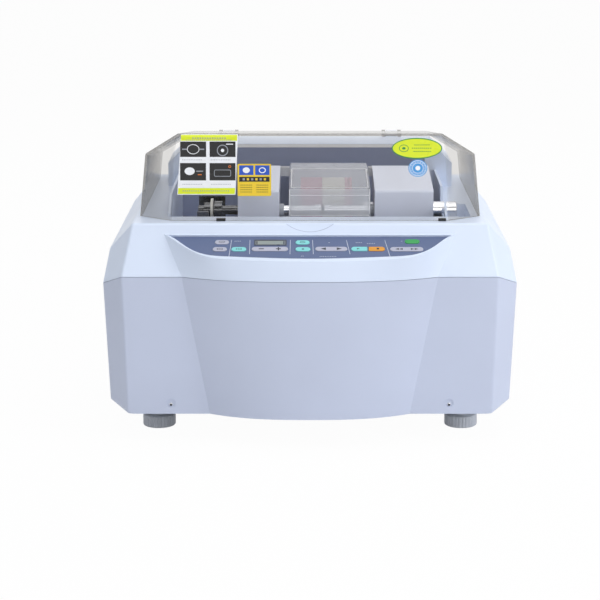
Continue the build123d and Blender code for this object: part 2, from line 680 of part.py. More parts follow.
def make_drive():
    outer, inner = belt_loop(belt_t), belt_loop(0)
    belt = extrude(outer, belt_w) - extrude(inner, belt_w)
    keep("drive_belt", Pos(pulley_x - belt_w / 2, 0, 0) * belt)
    motor = rod_x(motor_left, motor_left + motor_len, motor_y, motor_z, motor_r)
    motor += block(motor_left + motor_foot[0], motor_left + motor_foot[1], motor_y - motor_foot_half,
                   motor_y + motor_foot_half, base_top, motor_z - motor_r / 2)
    motor -= rod_x(motor_left - 1, motor_left + shaft_in + 2, motor_y, motor_z, motor_shaft_r + run_fit)
    keep("grinding_motor", motor)
    rotor = rod_x(pulley_x - pulley_w / 2, motor_left + shaft_in, motor_y, motor_z, motor_shaft_r)
    wheel = rod_x(pulley_x - pulley_w / 2, pulley_x + pulley_w / 2, motor_y, motor_z, motor_pulley_r + 2)
    groove = rod_x(pulley_x - belt_w / 2 - 0.5, pulley_x + belt_w / 2 + 0.5, motor_y, motor_z, motor_pulley_r + 3)
    core = rod_x(pulley_x - pulley_w / 2, pulley_x + pulley_w / 2, motor_y, motor_z, motor_pulley_r)
    keep("motor_pulley", rotor + (wheel - groove) + core)
    top = base_top + supply_h
    supply = block(*supply_x, *supply_y, base_top, top)
    fins = int((supply_x[1] - supply_x[0] - 2 * fin_t) / fin_pitch)
    for k in range(fins):
        x = supply_x[0] + 2 * fin_t + fin_pitch * k
        supply -= block(x, x + fin_t, supply_y[0] - 1, supply_y[1] + 1, top - fin_h, top + 1)
    keep("power_supply", supply)


# ---------------------------------------------------------------- carriage
left_plates = ((left_arm[0] + 3.0, left_arm[0] + 9.0), (left_arm[1] - 9.0, left_arm[1] - 3.0))
right_plates = ((right_arm[0] + 3.0, right_arm[0] + 9.0), (right_arm[1] - 9.0, right_arm[1] - 3.0))
rail_brackets_x = ((-140.0, -126.0), (190.0, 204.0))
rail_end = 24.0               # rail beyond its brackets
bracket_half, lug, lug_t = 20.0, 6.0, 6.0
hub_t = 8.0                   # wall of the frame's tube round the rail
chuck_boss = 9.0              # bosses that carry the chuck shafts beside the plates
frame_foot = 24.0             # half width of the frame's plates at the rail


def make_rail():
    keep("carriage_rail", rod_x(rail_brackets_x[0][0] - rail_end, rail_brackets_x[1][1] + rail_end,
                                pivot_y, pivot_z, rail_r))
    brackets = None
    for x0, x1 in rail_brackets_x:
        front, rear = pivot_y - bracket_half, pivot_y + bracket_half
        piece = block(x0, x1, front, rear, base_top, pivot_z)
        piece += rod_x(x0, x1, pivot_y, pivot_z, bracket_half)
        piece += block(x0 - lug, x1 + lug, front, rear, base_top, base_top + lug_t)
        piece -= rod_x(x0 - lug, x1 + lug, pivot_y, pivot_z, rail_r + run_fit)
        brackets = piece if brackets is None else brackets + piece
    keep("rail_brackets", brackets)


def make_frame():
    front, rear = arm_front_y + cover_t + 0.5, chuck_y + 30
    head_z = arm_top_front_z - cover_t - 1.5
    outline = [(pivot_y - frame_foot, pivot_z - hub_t), (pivot_y + frame_foot, pivot_z - hub_t),
               (rear, chuck_z - 50), (rear, chuck_z + 12), (rear - 10, head_z), (front, head_z),
               (front, arm_low_z), (pivot_y - frame_foot, pivot_z + 20)]
    frame = rod_x(left_plates[0][0], right_plates[1][1], pivot_y, pivot_z, rail_r + hub_t)
    for x0, x1 in left_plates + right_plates:
        frame += slab_x(x0, x1, outline)
    frame += rod_x(left_plates[1][1], left_plates[1][1] + chuck_boss, chuck_y, chuck_z, chuck_r + cover_t)
    frame += rod_x(right_plates[0][0] - chuck_boss, right_plates[0][0], chuck_y, chuck_z, chuck_r + cover_t)
    frame -= rod_x(-200, 300, pivot_y, pivot_z, rail_r + run_fit)
    frame -= rod_x(-200, right_plates[0][1] + 5, chuck_y, chuck_z, chuck_r + run_fit)
    frame -= rod_x(right_plates[1][0] - 5, 300, chuck_y, chuck_z, sleeve_r + run_fit)
    frame -= rod_x(-200, 300, cross_y, cross_z, cross_r + run_fit)
    keep("carriage_frame", frame)


pitch_r = hypot(chuck_y - cross_y, chuck_z - cross_z) / 2


def gear(x0, x1, y, z, phase):
    """Spur gear with trapezoid teeth; phase turns it by a share of one tooth."""
    module = 2 * pitch_r / gear_teeth
    tip, root = pitch_r + 0.8 * module, pitch_r - 1.05 * module
    points = []
    step = 2 * pi / gear_teeth
    for k in range(gear_teeth):
        a = (k + phase) * step
        for share, r in ((-0.27, root), (-0.13, tip), (0.13, tip), (0.27, root)):
            points.append((r * cos(a + share * step), r * sin(a + share * step)))
    wheel = extrude(Plane.YZ * make_face(Polyline(*points, close=True)), x1 - x0)
    return Pos(x0, y, z) * wheel


left_gear = (left_arm[0] + 16.0, left_arm[0] + 24.0)
right_gear = (118.0, 126.0)
chuck_motor_len, chuck_motor_r = 38.0, 16.0
head_r, head_w, pad_r = 7.5, 8.5, 5.6
pad_x = (lens_x - 3.2, lens_x + 1.2)
chuck_end, former_x, former_t = -150.0, -133.0, 3.0
former_half, former_high = 20.0, 15.5
flange_r, flange_w = 12.0, 10.0         # flange that clamps the pattern, and the nut behind it
nut_r, nut_w = 10.0, 8.8
sleeve_left, screw_in = 141.5, 16.5     # clamp sleeve's inner end and how far the shaft's end enters it


def gear_phase(own):
    """Phase that puts a tooth (or a gap, for the mate) on the line between the two axes."""
    line = atan2(cross_z - chuck_z, cross_y - chuck_y)
    turn = line if own else line + pi
    share = turn / (2 * pi / gear_teeth)
    return share - int(share) + (0 if own else 0.5)


def make_chucks():
    y, z = chuck_y, chuck_z
    left = rod_x(chuck_end, pad_x[0] - head_w, y, z, chuck_r)
    left += rod_x(pad_x[0] - head_w, pad_x[0], y, z, head_r)
    flange_x, nut_x = former_x + former_t + 2, former_x - 0.2
    left += rod_x(flange_x, flange_x + flange_w, y, z, flange_r) + rod_x(nut_x - nut_w, nut_x, y, z, nut_r)
    left += gear(left_gear[0], left_gear[1], y, z, gear_phase(True))
    keep("left_chuck_shaft", left)
    former = extrude(Plane.YZ * Ellipse(former_half, former_high), former_t)
    former = Pos(former_x, y, z) * former - rod_x(former_x - 1, former_x + former_t + 1, y, z, chuck_r)
    keep("pattern_former", former)
    keep("lens_pad", rod_x(pad_x[0], pad_x[1], y, z, pad_r))
    right = rod_x(pad_x[1] + 0.3, pad_x[1] + head_w, y, z, head_r)
    right += rod_x(pad_x[1] + head_w, sleeve_left - 0.5, y, z, chuck_r)
    right += rod_x(sleeve_left - 0.5, sleeve_left + screw_in, y, z, sleeve_bore - run_fit)
    right += gear(right_gear[0], right_gear[1], y, z, gear_phase(True))
    keep("right_chuck_shaft", right)
    sleeve = rod_x(sleeve_left, knob_end - knob_cap - clamp_travel - 1, y, z, sleeve_r)
    sleeve -= rod_x(sleeve_left - 1, sleeve_left + screw_in + 2, y, z, sleeve_bore)
    keep("clamp_sleeve", sleeve)
    knob = rod_x(right_arm[1] + 0.3, knob_end, y, z, knob_r)
    knob = chamfer(knob.edges().filter_by(GeomType.CIRCLE), 1.0)
    knob -= rod_x(knob_ring, knob_ring + 1.6, y, z, knob_r + 1) - rod_x(
        knob_ring - 1, knob_ring + 3, y, z, knob_r - 1.2)
    knob -= rod_x(right_arm[1] - 1, knob_end - knob_cap, y, z, sleeve_r + run_fit)
    keep("clamp_knob", knob)
    cross = rod_x(left_plates[0][0], right_plates[1][1] + 5, cross_y, cross_z, cross_r)
    cross += gear(left_gear[0], left_gear[1], cross_y, cross_z, gear_phase(False))
    cross += gear(right_gear[0] - 2, right_gear[1] + clamp_travel + 2, cross_y, cross_z, gear_phase(False))
    keep("cross_shaft", cross)
    x = right_plates[1][1]
    motor = rod_x(x, x + chuck_motor_len, cross_y, cross_z, chuck_motor_r)
    motor -= rod_x(x - 1, x + 6, cross_y, cross_z, cross_r + run_fit)
    keep("chuck_motor", motor)


def arm_outline(t):
    """Side view of an arm cover, inset by t; the bottom stays open."""
    low = arm_low_z - (8 if t else 0)
    return [(arm_front_y + t, low), (arm_front_y + t, arm_top_front_z - t), (arm_rear_y - t, arm_top_rear_z - t),
            (arm_rear_y - t, arm_top_rear_z - arm_tail_h + t), (arm_knee_y - t, arm_knee_z + t),
            (arm_knee_y - t, low)]


def make_arm_covers():
    for name, (x0, x1) in (("left_arm_cover", left_arm), ("right_arm_cover", right_arm)):
        cover = slab_x(x0, x1, arm_outline(0))
        front_top = cover.edges().filter_by(Axis.X).sort_by(Axis.Z)[-2:]
        cover = fillet(front_top, 4)
        cover -= slab_x(x0 + cover_t, x1 - cover_t, arm_outline(cover_t))
        cover -= rod_x(x0 - 5, x1 + 5, chuck_y, chuck_z, sleeve_r + 2.0)
        keep(name, cover)


splash_top, splash_brow, splash_low = 333.0, 323.5, 286.0      # heights: flat top, front edge, foot
splash_front, splash_knee, splash_rear = -116.0, -5.0, 45.0
splash_wing = 322.0           # underside of the sides at the rear
splash_wing_y = -62.0
splash_edge_r = 2.4
shaft_slot = 10.0             # half width of the notch in the sides for the chuck shafts
splash_lug = 6.0              # half size of the blocks that carry the cover's pins


def make_splash():
    outline = [(splash_rear, splash_top), (splash_knee, splash_top), (splash_front, splash_brow),
               (splash_front, splash_low), (splash_wing_y, splash_low), (splash_rear, splash_wing)]
    cover = slab_x(splash_left, splash_right, outline)
    cover = fillet([edge for edge in cover.edges()
                    if edge.center().Z > splash_brow - 1 and splash_knee + 1 < edge.center().Y < splash_rear - 1
                    or edge.center().Z > splash_brow - 1 and edge.center().Y < splash_knee - 1], splash_edge_r)
    slope = hypot(splash_knee - splash_front, splash_top - splash_brow) / (splash_knee - splash_front)
    inner = [(splash_rear + 10, splash_top - splash_t), (splash_knee, splash_top - splash_t * slope),
             (splash_front + splash_t, splash_brow - splash_t * slope + splash_t * (splash_top - splash_brow)
              / (splash_knee - splash_front)),
             (splash_front + splash_t, splash_low - 16), (splash_wing_y, splash_low - 16), (splash_rear + 10, 300)]
    cover -= slab_x(splash_left + splash_t, splash_right - splash_t, inner)
    notch = block(-60, 120, chuck_y - shaft_slot, chuck_y + shaft_slot, splash_low - 16, chuck_z + 2)
    cover -= notch - block(splash_left + splash_t, splash_right - splash_t, -130, 60, 260, 320)
    cover -= rod_x(-60, 120, chuck_y, chuck_z + 2, shaft_slot)
    cover -= rod_x(-60, 120, pin_y, pin_z, hinge_pin_r + run_fit)
    keep("splash_cover", cover)
    brackets = None
    for side, arm_x, cover_x in ((1, left_arm[1], splash_left), (-1, right_arm[0], splash_right)):
        near, far = arm_x, cover_x - side * 0.3
        piece = block(min(near, far), max(near, far), pin_y - splash_lug - 2, pin_y + splash_lug,
                      pin_z - splash_lug, pin_z + splash_lug)
        tip = cover_x + side * (splash_t + 1.5)
        piece += rod_x(min(near, tip), max(near, tip), pin_y, pin_z, hinge_pin_r)
        brackets = piece if brackets is None else brackets + piece
    keep("splash_brackets", brackets)


shoe_y, shoe_z, shoe_x = -29.0, 284.0, well_left + 50
shoe_half, shoe_high, shoe_t, shoe_stem_r = 18.0, 14.0, 6.0, 5.0
holder_half, holder_y, holder_rib = 12.0, (13.0, 29.0), 4.0             # the holder behind the shoe
stop_x, stop_y, stop_z = (-150.0, -135.0), (-114.0, -105.0), 291.0      # stop post in front of the pattern


def make_shoe():
    floor = liner_floor_z + liner_t
    shoe = block(shoe_x - shoe_half, shoe_x + shoe_half, shoe_y, shoe_y + shoe_t,
                 shoe_z - shoe_high, shoe_z + shoe_high)
    shoe += rod_y(shoe_x, shoe_y + shoe_t, shoe_y + holder_y[1] + 9, shoe_z, shoe_stem_r)
    keep("touch_shoe", shoe)
    front, rear = shoe_y + holder_y[0], shoe_y + holder_y[1]
    holder = block(shoe_x - holder_half, shoe_x + holder_half, front, rear, floor, shoe_z + holder_half)
    holder += slab_x(shoe_x - holder_half, shoe_x - holder_half + holder_rib,
                     [(rear, floor), (rear + 31, floor), (rear, shoe_z)])
    holder -= rod_y(shoe_x, front - 1, rear + 1, shoe_z, shoe_stem_r + run_fit)
    holder += block(*stop_x, *stop_y, floor, stop_z)
    keep("shoe_holder", holder)


# ---------------------------------------------------------------- rear panel
panel_in_y = rear_y - wall - rear_panel_t
inlet_x, inlet_z = -140.0, 92.0
switch_x, switch_z = -140.0, 140.0
inlet_half, inlet_high, inlet_deep = 23.8, 13.8, 22.0           # body of the power inlet
socket_x, socket_high, socket_deep = (-20.0, 6.0), 8.5, 14.0
inlet_pins = ((-7.0, 4.0), (-1.0, -1.0), (-13.0, -1.0))
switch_half, switch_high, switch_deep = 12.8, 9.3, 16.0
bezel, bezel_t, cutout_gap = 2.2, 2.0, 0.2
rocker_half, rocker_high = 9.3, 7.0
rocker_pin_r = 1.0
fan_x, fan_z, fan_half, fan_deep = 120.0, 126.0, 40.0, 25.0
fan_bore, fan_hub_r, fan_stub_r = 37.5, 15.0, 3.0
fan_blades, blade_t, blade_high, blade_turn = 7, 1.6, 15.0, 35.0
grille_r, grille_pitch, grille_slot, grille_rows = 36.0, 6.6, 4.0, 5
nipples = ((0.0, 88.0, 5.0), (40.0, 88.0, 8.0))      # x, z, outer radius
nipple_end = 245.0
nipple_wall, nipple_nut = 1.8, 4.0


def make_rear():
    y0, y1 = panel_in_y, panel_in_y + rear_panel_t
    lap = rear_panel_lap
    panel = block(-rear_panel_half - lap, rear_panel_half + lap, y0, y1, rear_panel_low - lap, rear_panel_high + lap)
    for x, z, half, high in ((inlet_x, inlet_z, inlet_half, inlet_high),
                             (switch_x, switch_z, switch_half, switch_high)):
        half, high = half + cutout_gap, high + cutout_gap
        panel -= block(x - half, x + half, y0 - 1, y1 + 1, z - high, z + high)
    for k in range(-grille_rows, grille_rows + 1):
        z = fan_z + grille_pitch * k
        half = sqrt(grille_r ** 2 - (grille_pitch * k) ** 2)
        panel -= block(fan_x - half, fan_x + half, y0 - 1, y1 + 1, z - grille_slot / 2, z + grille_slot / 2)
    for x, z, r in nipples:
        panel -= rod_y(x, y0 - 1, y1 + 1, z, r + run_fit)
    keep("rear_panel", panel)
    inlet = block(inlet_x - inlet_half, inlet_x + inlet_half, y0 - inlet_deep, y1,
                  inlet_z - inlet_high, inlet_z + inlet_high)
    inlet += block(inlet_x - inlet_half - bezel, inlet_x + inlet_half + bezel, y1, y1 + bezel_t,
                   inlet_z - inlet_high - bezel, inlet_z + inlet_high + bezel)
    inlet -= block(inlet_x + socket_x[0], inlet_x + socket_x[1], y0 - socket_deep, y1 + bezel_t + 1,
                   inlet_z - socket_high, inlet_z + socket_high)
    for dx, dz in inlet_pins:
        inlet += block(inlet_x + dx - 1, inlet_x + dx + 1, y0 - socket_deep - 1, y1 - 2,
                       inlet_z + dz - 2, inlet_z + dz + 2)
    ring = block(switch_x - switch_half, switch_x + switch_half, y0 - switch_deep, y1,
                 switch_z - switch_high, switch_z + switch_high)
    ring += block(switch_x - switch_half - bezel, switch_x + switch_half + bezel, y1, y1 + bezel_t,
                  switch_z - switch_high - bezel, switch_z + switch_high + bezel)
    well_half, well_high = rocker_half + 1.2, rocker_high + 0.5
    ring -= block(switch_x - well_half, switch_x + well_half, y0 - switch_deep + 4, y1 + bezel_t + 1,
                  switch_z - well_high, switch_z + well_high)
    rock_y, pin_half = y1 - 2, rocker_high + 2
    ring -= rod_z(switch_x, rock_y, switch_z - pin_half, switch_z + pin_half, rocker_pin_r + run_fit)
    keep("power_inlet", inlet + ring)
    rocker = slab_z(switch_z - rocker_high, switch_z + rocker_high, [
        (-rocker_half, y1 - 5), (rocker_half, y1 - 5), (rocker_half, y1 + 3.4), (0, y1 + 1.4),
        (-rocker_half, y1 + 0.4)])
    pin = rod_z(switch_x, rock_y, switch_z - pin_half + 0.2, switch_z + pin_half - 0.2, rocker_pin_r)
    keep("rocker_switch", Pos(switch_x, 0, 0) * rocker + pin)
    rear, spider = y0 - fan_deep, y0 - fan_deep + 3
    frame = block(fan_x - fan_half, fan_x + fan_half, rear, y0, fan_z - fan_half, fan_z + fan_half)
    frame -= rod_y(fan_x, rear - 1, y0 + 1, fan_z, fan_bore)
    frame += rod_y(fan_x, rear, spider, fan_z, fan_hub_r + 1)
    frame += block(fan_x - fan_half + 1, fan_x + fan_half - 1, rear, spider, fan_z - 3, fan_z + 3)
    frame += rod_y(fan_x, spider, y0 - 4, fan_z, fan_stub_r)
    keep("fan_frame", frame)
    hub = rod_y(fan_x, spider + 2, y0 - 3, fan_z, fan_hub_r)
    blade = Box(fan_bore - fan_hub_r - 0.5, blade_t, blade_high)
    for k in range(fan_blades):
        turned = Rot(0, 360 / fan_blades * k, 0) * Pos((fan_bore + fan_hub_r) / 2 - 1.25, 0, 0) * Rot(blade_turn, 0, 0)
        hub += Pos(fan_x, y0 - 11.5, fan_z) * turned * blade
    keep("fan_rotor", hub - rod_y(fan_x, spider - 1, y0 - 3.5, fan_z, fan_stub_r + run_fit))
    spigots = None
    for x, z, r in nipples:
        piece = rod_y(x, y0 - 8, nipple_end, z, r) + rod_y(x, y1, y1 + 5, z, r + nipple_nut)
        piece += rod_y(x, y0 - 4, y0, z, r + nipple_nut)
        piece -= rod_y(x, y0 - 10, nipple_end + 1, z, r - nipple_wall)
        spigots = piece if spigots is None else spigots + piece
    keep("water_nipples", spigots)


def slab_z(z0, z1, outline):
    """Prism along Z from an outline of (x, y) points."""
    return Pos(0, 0, z0) * extrude(make_face(Polyline(*outline, close=True)), z1 - z0)


small_screw_r, large_screw_r, screw_h = 2.2, 3.0, 1.2
liner_screws_x, liner_screws_z = (-84.0, -42.0, 82.0, 132.0), 314.0
rear_screw_in = 6.0           # rear screws from the panel opening's edge


def make_screws():
    """Small domed screws on the covers, the liner and the rear panel."""
    spots = []
    for side in (-1, 1):
        spots.append((side * recess_x, front_y(recess_z) + recess_deep, recess_z - 2, small_screw_r, -1))
    for x in liner_screws_x:
        spots.append((x, well_rear, liner_screws_z, small_screw_r, -1))
    edge = rear_panel_half - rear_screw_in
    for x in (-edge, 0, edge):
        for z in (rear_panel_low + rear_screw_in, rear_panel_high - rear_screw_in):
            spots.append((x, panel_in_y + rear_panel_t, z, large_screw_r, 1))
    group = None
    for x, y, z, r, way in spots:
        head = rod_y(x, min(y, y + way * screw_h), max(y, y + way * screw_h), z, r)
        group = head if group is None else group + head
    keep("screws", group)


make_upper_cover()
make_lower_cover()
make_base()
make_feet()
make_panel()
make_keys()
make_housing()
make_liner()
make_hood()
make_basin()
make_spindle()
make_drive()
make_rail()
make_frame()
make_chucks()
make_arm_covers()
make_splash()
make_shoe()
make_rear()
make_screws()

os.makedirs("parts", exist_ok=True)
for name, shape in parts.items():
    export_step(shape, f"parts/{name}.step")
print(len(parts), "sub-parts")
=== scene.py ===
import json
import math

import bmesh
import bpy
from mathutils import Matrix, Vector

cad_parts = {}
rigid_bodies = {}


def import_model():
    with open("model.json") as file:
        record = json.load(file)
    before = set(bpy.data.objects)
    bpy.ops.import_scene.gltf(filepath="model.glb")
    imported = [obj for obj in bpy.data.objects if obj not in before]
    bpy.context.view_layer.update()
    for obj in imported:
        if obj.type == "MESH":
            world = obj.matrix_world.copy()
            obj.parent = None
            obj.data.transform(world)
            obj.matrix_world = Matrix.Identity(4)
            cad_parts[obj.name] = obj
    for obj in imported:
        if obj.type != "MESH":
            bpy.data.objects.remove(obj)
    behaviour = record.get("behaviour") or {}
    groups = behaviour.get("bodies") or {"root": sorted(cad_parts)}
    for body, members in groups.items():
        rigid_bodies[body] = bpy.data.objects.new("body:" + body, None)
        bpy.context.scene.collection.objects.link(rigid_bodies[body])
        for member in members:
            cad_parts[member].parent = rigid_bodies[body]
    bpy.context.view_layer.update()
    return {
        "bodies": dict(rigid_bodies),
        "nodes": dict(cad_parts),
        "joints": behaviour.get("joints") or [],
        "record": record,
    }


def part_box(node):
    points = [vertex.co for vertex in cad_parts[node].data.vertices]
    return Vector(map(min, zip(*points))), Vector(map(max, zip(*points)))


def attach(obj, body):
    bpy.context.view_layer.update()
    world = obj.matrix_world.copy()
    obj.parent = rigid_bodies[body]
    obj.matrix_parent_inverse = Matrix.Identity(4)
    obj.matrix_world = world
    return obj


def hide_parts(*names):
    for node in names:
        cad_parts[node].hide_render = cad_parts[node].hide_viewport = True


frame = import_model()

nodes = frame["nodes"]
mm = 0.001


cameraSettings = {
    "place": (0.0, -2.683, 0.744),
    "looksAt": (0.0, 0.017, 0.171),
    "lens": 117.8,
    "shift": (-0.0167, -0.0333),
}

lampSettings = {
    # name: place, width, watts, colour
    "overhead softbox": ((0.2, -0.5, 2.3), 2.0, 23, (1.0, 1.0, 1.0)),
    "left softbox": ((-2.3, -1.5, 1.2), 1.2, 2, (1.0, 0.98, 0.96)),
    "right softbox": ((2.4, -1.3, 1.2), 1.2, 26, (0.97, 0.98, 1.0)),
    "front softbox": ((0.4, -3.4, 1.6), 1.6, 19, (1.0, 1.0, 1.0)),
    "rear softbox": ((0.3, 2.0, 1.9), 1.4, 10, (1.0, 1.0, 1.0)),
}

roomSettings = {"fill": 0.36, "fillColour": (0.95, 0.97, 1.0, 1.0), "floorSize": 24.0, "floorWhite": 0.97}


def placeCamera():
    eye = bpy.data.objects.new("camera", bpy.data.cameras.new("camera"))
    bpy.context.scene.collection.objects.link(eye)
    eye.location = cameraSettings["place"]
    aim = Vector(cameraSettings["looksAt"]) - eye.location
    eye.rotation_euler = aim.to_track_quat("-Z", "Y").to_euler()
    eye.data.lens = cameraSettings["lens"]
    eye.data.shift_x, eye.data.shift_y = cameraSettings["shift"]
    eye.data.clip_start, eye.data.clip_end = 0.05, 30
    bpy.context.scene.camera = eye


def hangLamps():
    for name, (place, width, watts, colour) in lampSettings.items():
        lamp = bpy.data.lights.new(name, "AREA")
        lamp.shape, lamp.size, lamp.energy, lamp.color = "SQUARE", width, watts, colour
        holder = bpy.data.objects.new(name, lamp)
        holder.location = place
        aim = Vector((0, 0, 0.2)) - Vector(place)
        holder.rotation_euler = aim.to_track_quat("-Z", "Y").to_euler()
        bpy.context.scene.collection.objects.link(holder)


def addNode(tree, kind, inputs=None, **settings):
    node = tree.nodes.new("ShaderNode" + kind)
    for key, value in settings.items():
        setattr(node, key, value)
    for key, value in (inputs or {}).items():
        node.inputs[key].default_value = value
    return node


# 1 for the camera, mirrors and glass, 0 for light that bounces
def seenDirectly(tree):
    path = addNode(tree, "LightPath")
    first = addNode(tree, "Math", operation="MAXIMUM")
    second = addNode(tree, "Math", operation="MAXIMUM")
    tree.links.new(path.outputs["Is Camera Ray"], first.inputs[0])
    tree.links.new(path.outputs["Is Glossy Ray"], first.inputs[1])
    tree.links.new(first.outputs[0], second.inputs[0])
    tree.links.new(path.outputs["Is Transmission Ray"], second.inputs[1])
    return second.outputs[0]


def lightRoom():
    world = bpy.data.worlds.new("studio")
    world.use_nodes = True
    tree = world.node_tree
    fill = tree.nodes["Background"]
    fill.inputs["Color"].default_value = roomSettings["fillColour"]
    fill.inputs["Strength"].default_value = roomSettings["fill"]
    white = addNode(tree, "Background", {"Color": (1, 1, 1, 1), "Strength": 1.0})
    mix = addNode(tree, "MixShader")
    tree.links.new(seenDirectly(tree), mix.inputs[0])
    tree.links.new(fill.outputs[0], mix.inputs[1])
    tree.links.new(white.outputs[0], mix.inputs[2])
    tree.links.new(mix.outputs[0], tree.nodes["World Output"].inputs["Surface"])
    bpy.context.scene.world = world


def layFloor():
    half = roomSettings["floorSize"] / 2
    mesh = bpy.data.meshes.new("floor")
    corners = [(-half, -half, 0), (half, -half, 0), (half, half, 0), (-half, half, 0)]
    mesh.from_pydata(corners, [], [(0, 1, 2, 3)])
    floor = bpy.data.objects.new("floor", mesh)
    bpy.context.scene.collection.objects.link(floor)
    material = bpy.data.materials.new("paper floor")
    material.use_nodes = True
    tree = material.node_tree
    paper = tree.nodes["Principled BSDF"]
    paper.inputs["Base Color"].default_value = (0.9, 0.9, 0.9, 1)
    paper.inputs["Roughness"].default_value = 0.9
    paper.inputs["Specular IOR Level"].default_value = 0.0
    white = addNode(tree, "Emission", {"Color": (1, 1, 1, 1), "Strength": 1.0})
    share = addNode(tree, "Math", {1: roomSettings["floorWhite"]}, operation="MULTIPLY")
    mix = addNode(tree, "MixShader")
    tree.links.new(seenDirectly(tree), share.inputs[0])
    tree.links.new(share.outputs[0], mix.inputs[0])
    tree.links.new(paper.outputs[0], mix.inputs[1])
    tree.links.new(white.outputs[0], mix.inputs[2])
    tree.links.new(mix.outputs[0], tree.nodes["Material Output"].inputs["Surface"])
    mesh.materials.append(material)


bpy.context.scene.view_settings.view_transform = "Standard"
placeCamera()
hangLamps()
lightRoom()
layFloor()
print("camera, lamps and floor are in place")


# screen colour, 0 to 255, as linear light
def tone(red, green, blue):
    return tuple(((v / 255 + 0.055) / 1.055) ** 2.4 for v in (red, green, blue)) + (1.0,)


def newFinish(name):
    material = bpy.data.materials.new(name)
    material.use_nodes = True
    tree = material.node_tree
    return material, tree, tree.nodes["Principled BSDF"]


# object coordinates, stretched along each axis
def stretched(tree, scale):
    place = addNode(tree, "TexCoord")
    mapping = addNode(tree, "Mapping")
    mapping.inputs["Scale"].default_value = scale
    tree.links.new(place.outputs["Object"], mapping.inputs["Vector"])
    return mapping.outputs[0]


# noise mapped to a range
def speckle(tree, vector, scale, low, high, detail=2.0):
    noise = addNode(tree, "TexNoise", {"Scale": scale, "Detail": detail})
    span = addNode(tree, "MapRange", {"From Min": 0.3, "From Max": 0.7, "To Min": low, "To Max": high})
    tree.links.new(vector, noise.inputs["Vector"])
    tree.links.new(noise.outputs[0], span.inputs[0])
    return span.outputs[0]


# colour between two others
def blotch(tree, factor, dark, light):
    mix = addNode(tree, "Mix", data_type="RGBA")
    mix.inputs[6].default_value, mix.inputs[7].default_value = dark, light
    tree.links.new(factor, mix.inputs[0])
    return mix.outputs[2]


def shaded(colour, share):
    return tuple(min(1.0, c * share) for c in colour[:3]) + (1.0,)


def roughen(tree, skin, height, strength, depth):
    bump = addNode(tree, "Bump", {"Strength": strength, "Distance": depth})
    tree.links.new(height, bump.inputs["Height"])
    tree.links.new(bump.outputs[0], skin.inputs["Normal"])


# satin moulded plastic with a fine spark grain
def mouldedPlastic(name, colour, rough=0.36, spread=0.025, grain=0.12, grainSize=0.0007):
    material, tree, skin = newFinish(name)
    place = stretched(tree, (1, 1, 1))
    tint = blotch(tree, speckle(tree, place, 7, 0, 1), shaded(colour, 1 - spread), shaded(colour, 1 + spread))
    tree.links.new(tint, skin.inputs["Base Color"])
    tree.links.new(speckle(tree, place, 35, rough - 0.05, rough + 0.05), skin.inputs["Roughness"])
    roughen(tree, skin, speckle(tree, place, 1 / grainSize, 0, 1), grain, 0.00003)
    return material


# turned or ground metal; rings are finest along the largest scale
# darkLeft: x, in metres, left of which the metal is darker
def turnedMetal(name, colour, rough=0.22, rings=(3000, 40, 40), spread=0.06, darkLeft=None):
    material, tree, skin = newFinish(name)
    lines = stretched(tree, rings)
    fine = speckle(tree, lines, 1, 0, 1, 3)
    tint = blotch(tree, fine, shaded(colour, 1 - spread), shaded(colour, 1 + spread))
    if darkLeft is not None:
        place = addNode(tree, "TexCoord")
        axes = addNode(tree, "SeparateXYZ")
        here = addNode(tree, "MapRange", {"From Min": darkLeft, "From Max": darkLeft + 0.001, "To Min": 0.16,
                                          "To Max": 1.0})
        darker = addNode(tree, "VectorMath", operation="SCALE")
        tree.links.new(place.outputs["Object"], axes.inputs[0])
        tree.links.new(axes.outputs["X"], here.inputs[0])
        tree.links.new(tint, darker.inputs[0])
        tree.links.new(here.outputs[0], darker.inputs["Scale"])
        tint = darker.outputs[0]
    tree.links.new(tint, skin.inputs["Base Color"])
    tree.links.new(speckle(tree, lines, 1.7, rough - 0.06, rough + 0.08), skin.inputs["Roughness"])
    skin.inputs["Metallic"].default_value = 1.0
    roughen(tree, skin, fine, 0.15, 0.00002)
    return material


def paintedMetal(name, colour, rough=0.42, orangePeel=260):
    material, tree, skin = newFinish(name)
    place = stretched(tree, (1, 1, 1))
    tree.links.new(blotch(tree, speckle(tree, place, 12, 0, 1), shaded(colour, 0.95), shaded(colour, 1.05)),
                   skin.inputs["Base Color"])
    tree.links.new(speckle(tree, place, 80, rough - 0.06, rough + 0.06), skin.inputs["Roughness"])
    roughen(tree, skin, speckle(tree, place, orangePeel, 0, 1), 0.2, 0.00008)
    return material


clearSettings = {
    "topStart": 0.75,          # topShade works where the normal's upward share is above this
    "topFull": 0.97,           # and in full from here
    "frontStart": -0.6,        # frontPaintedLight likewise, where the normal points forward
    "frontFull": -0.98,
    "dust": 0.02,
    "shadow": 0.15,            # share of the haze that stops lamp light
}
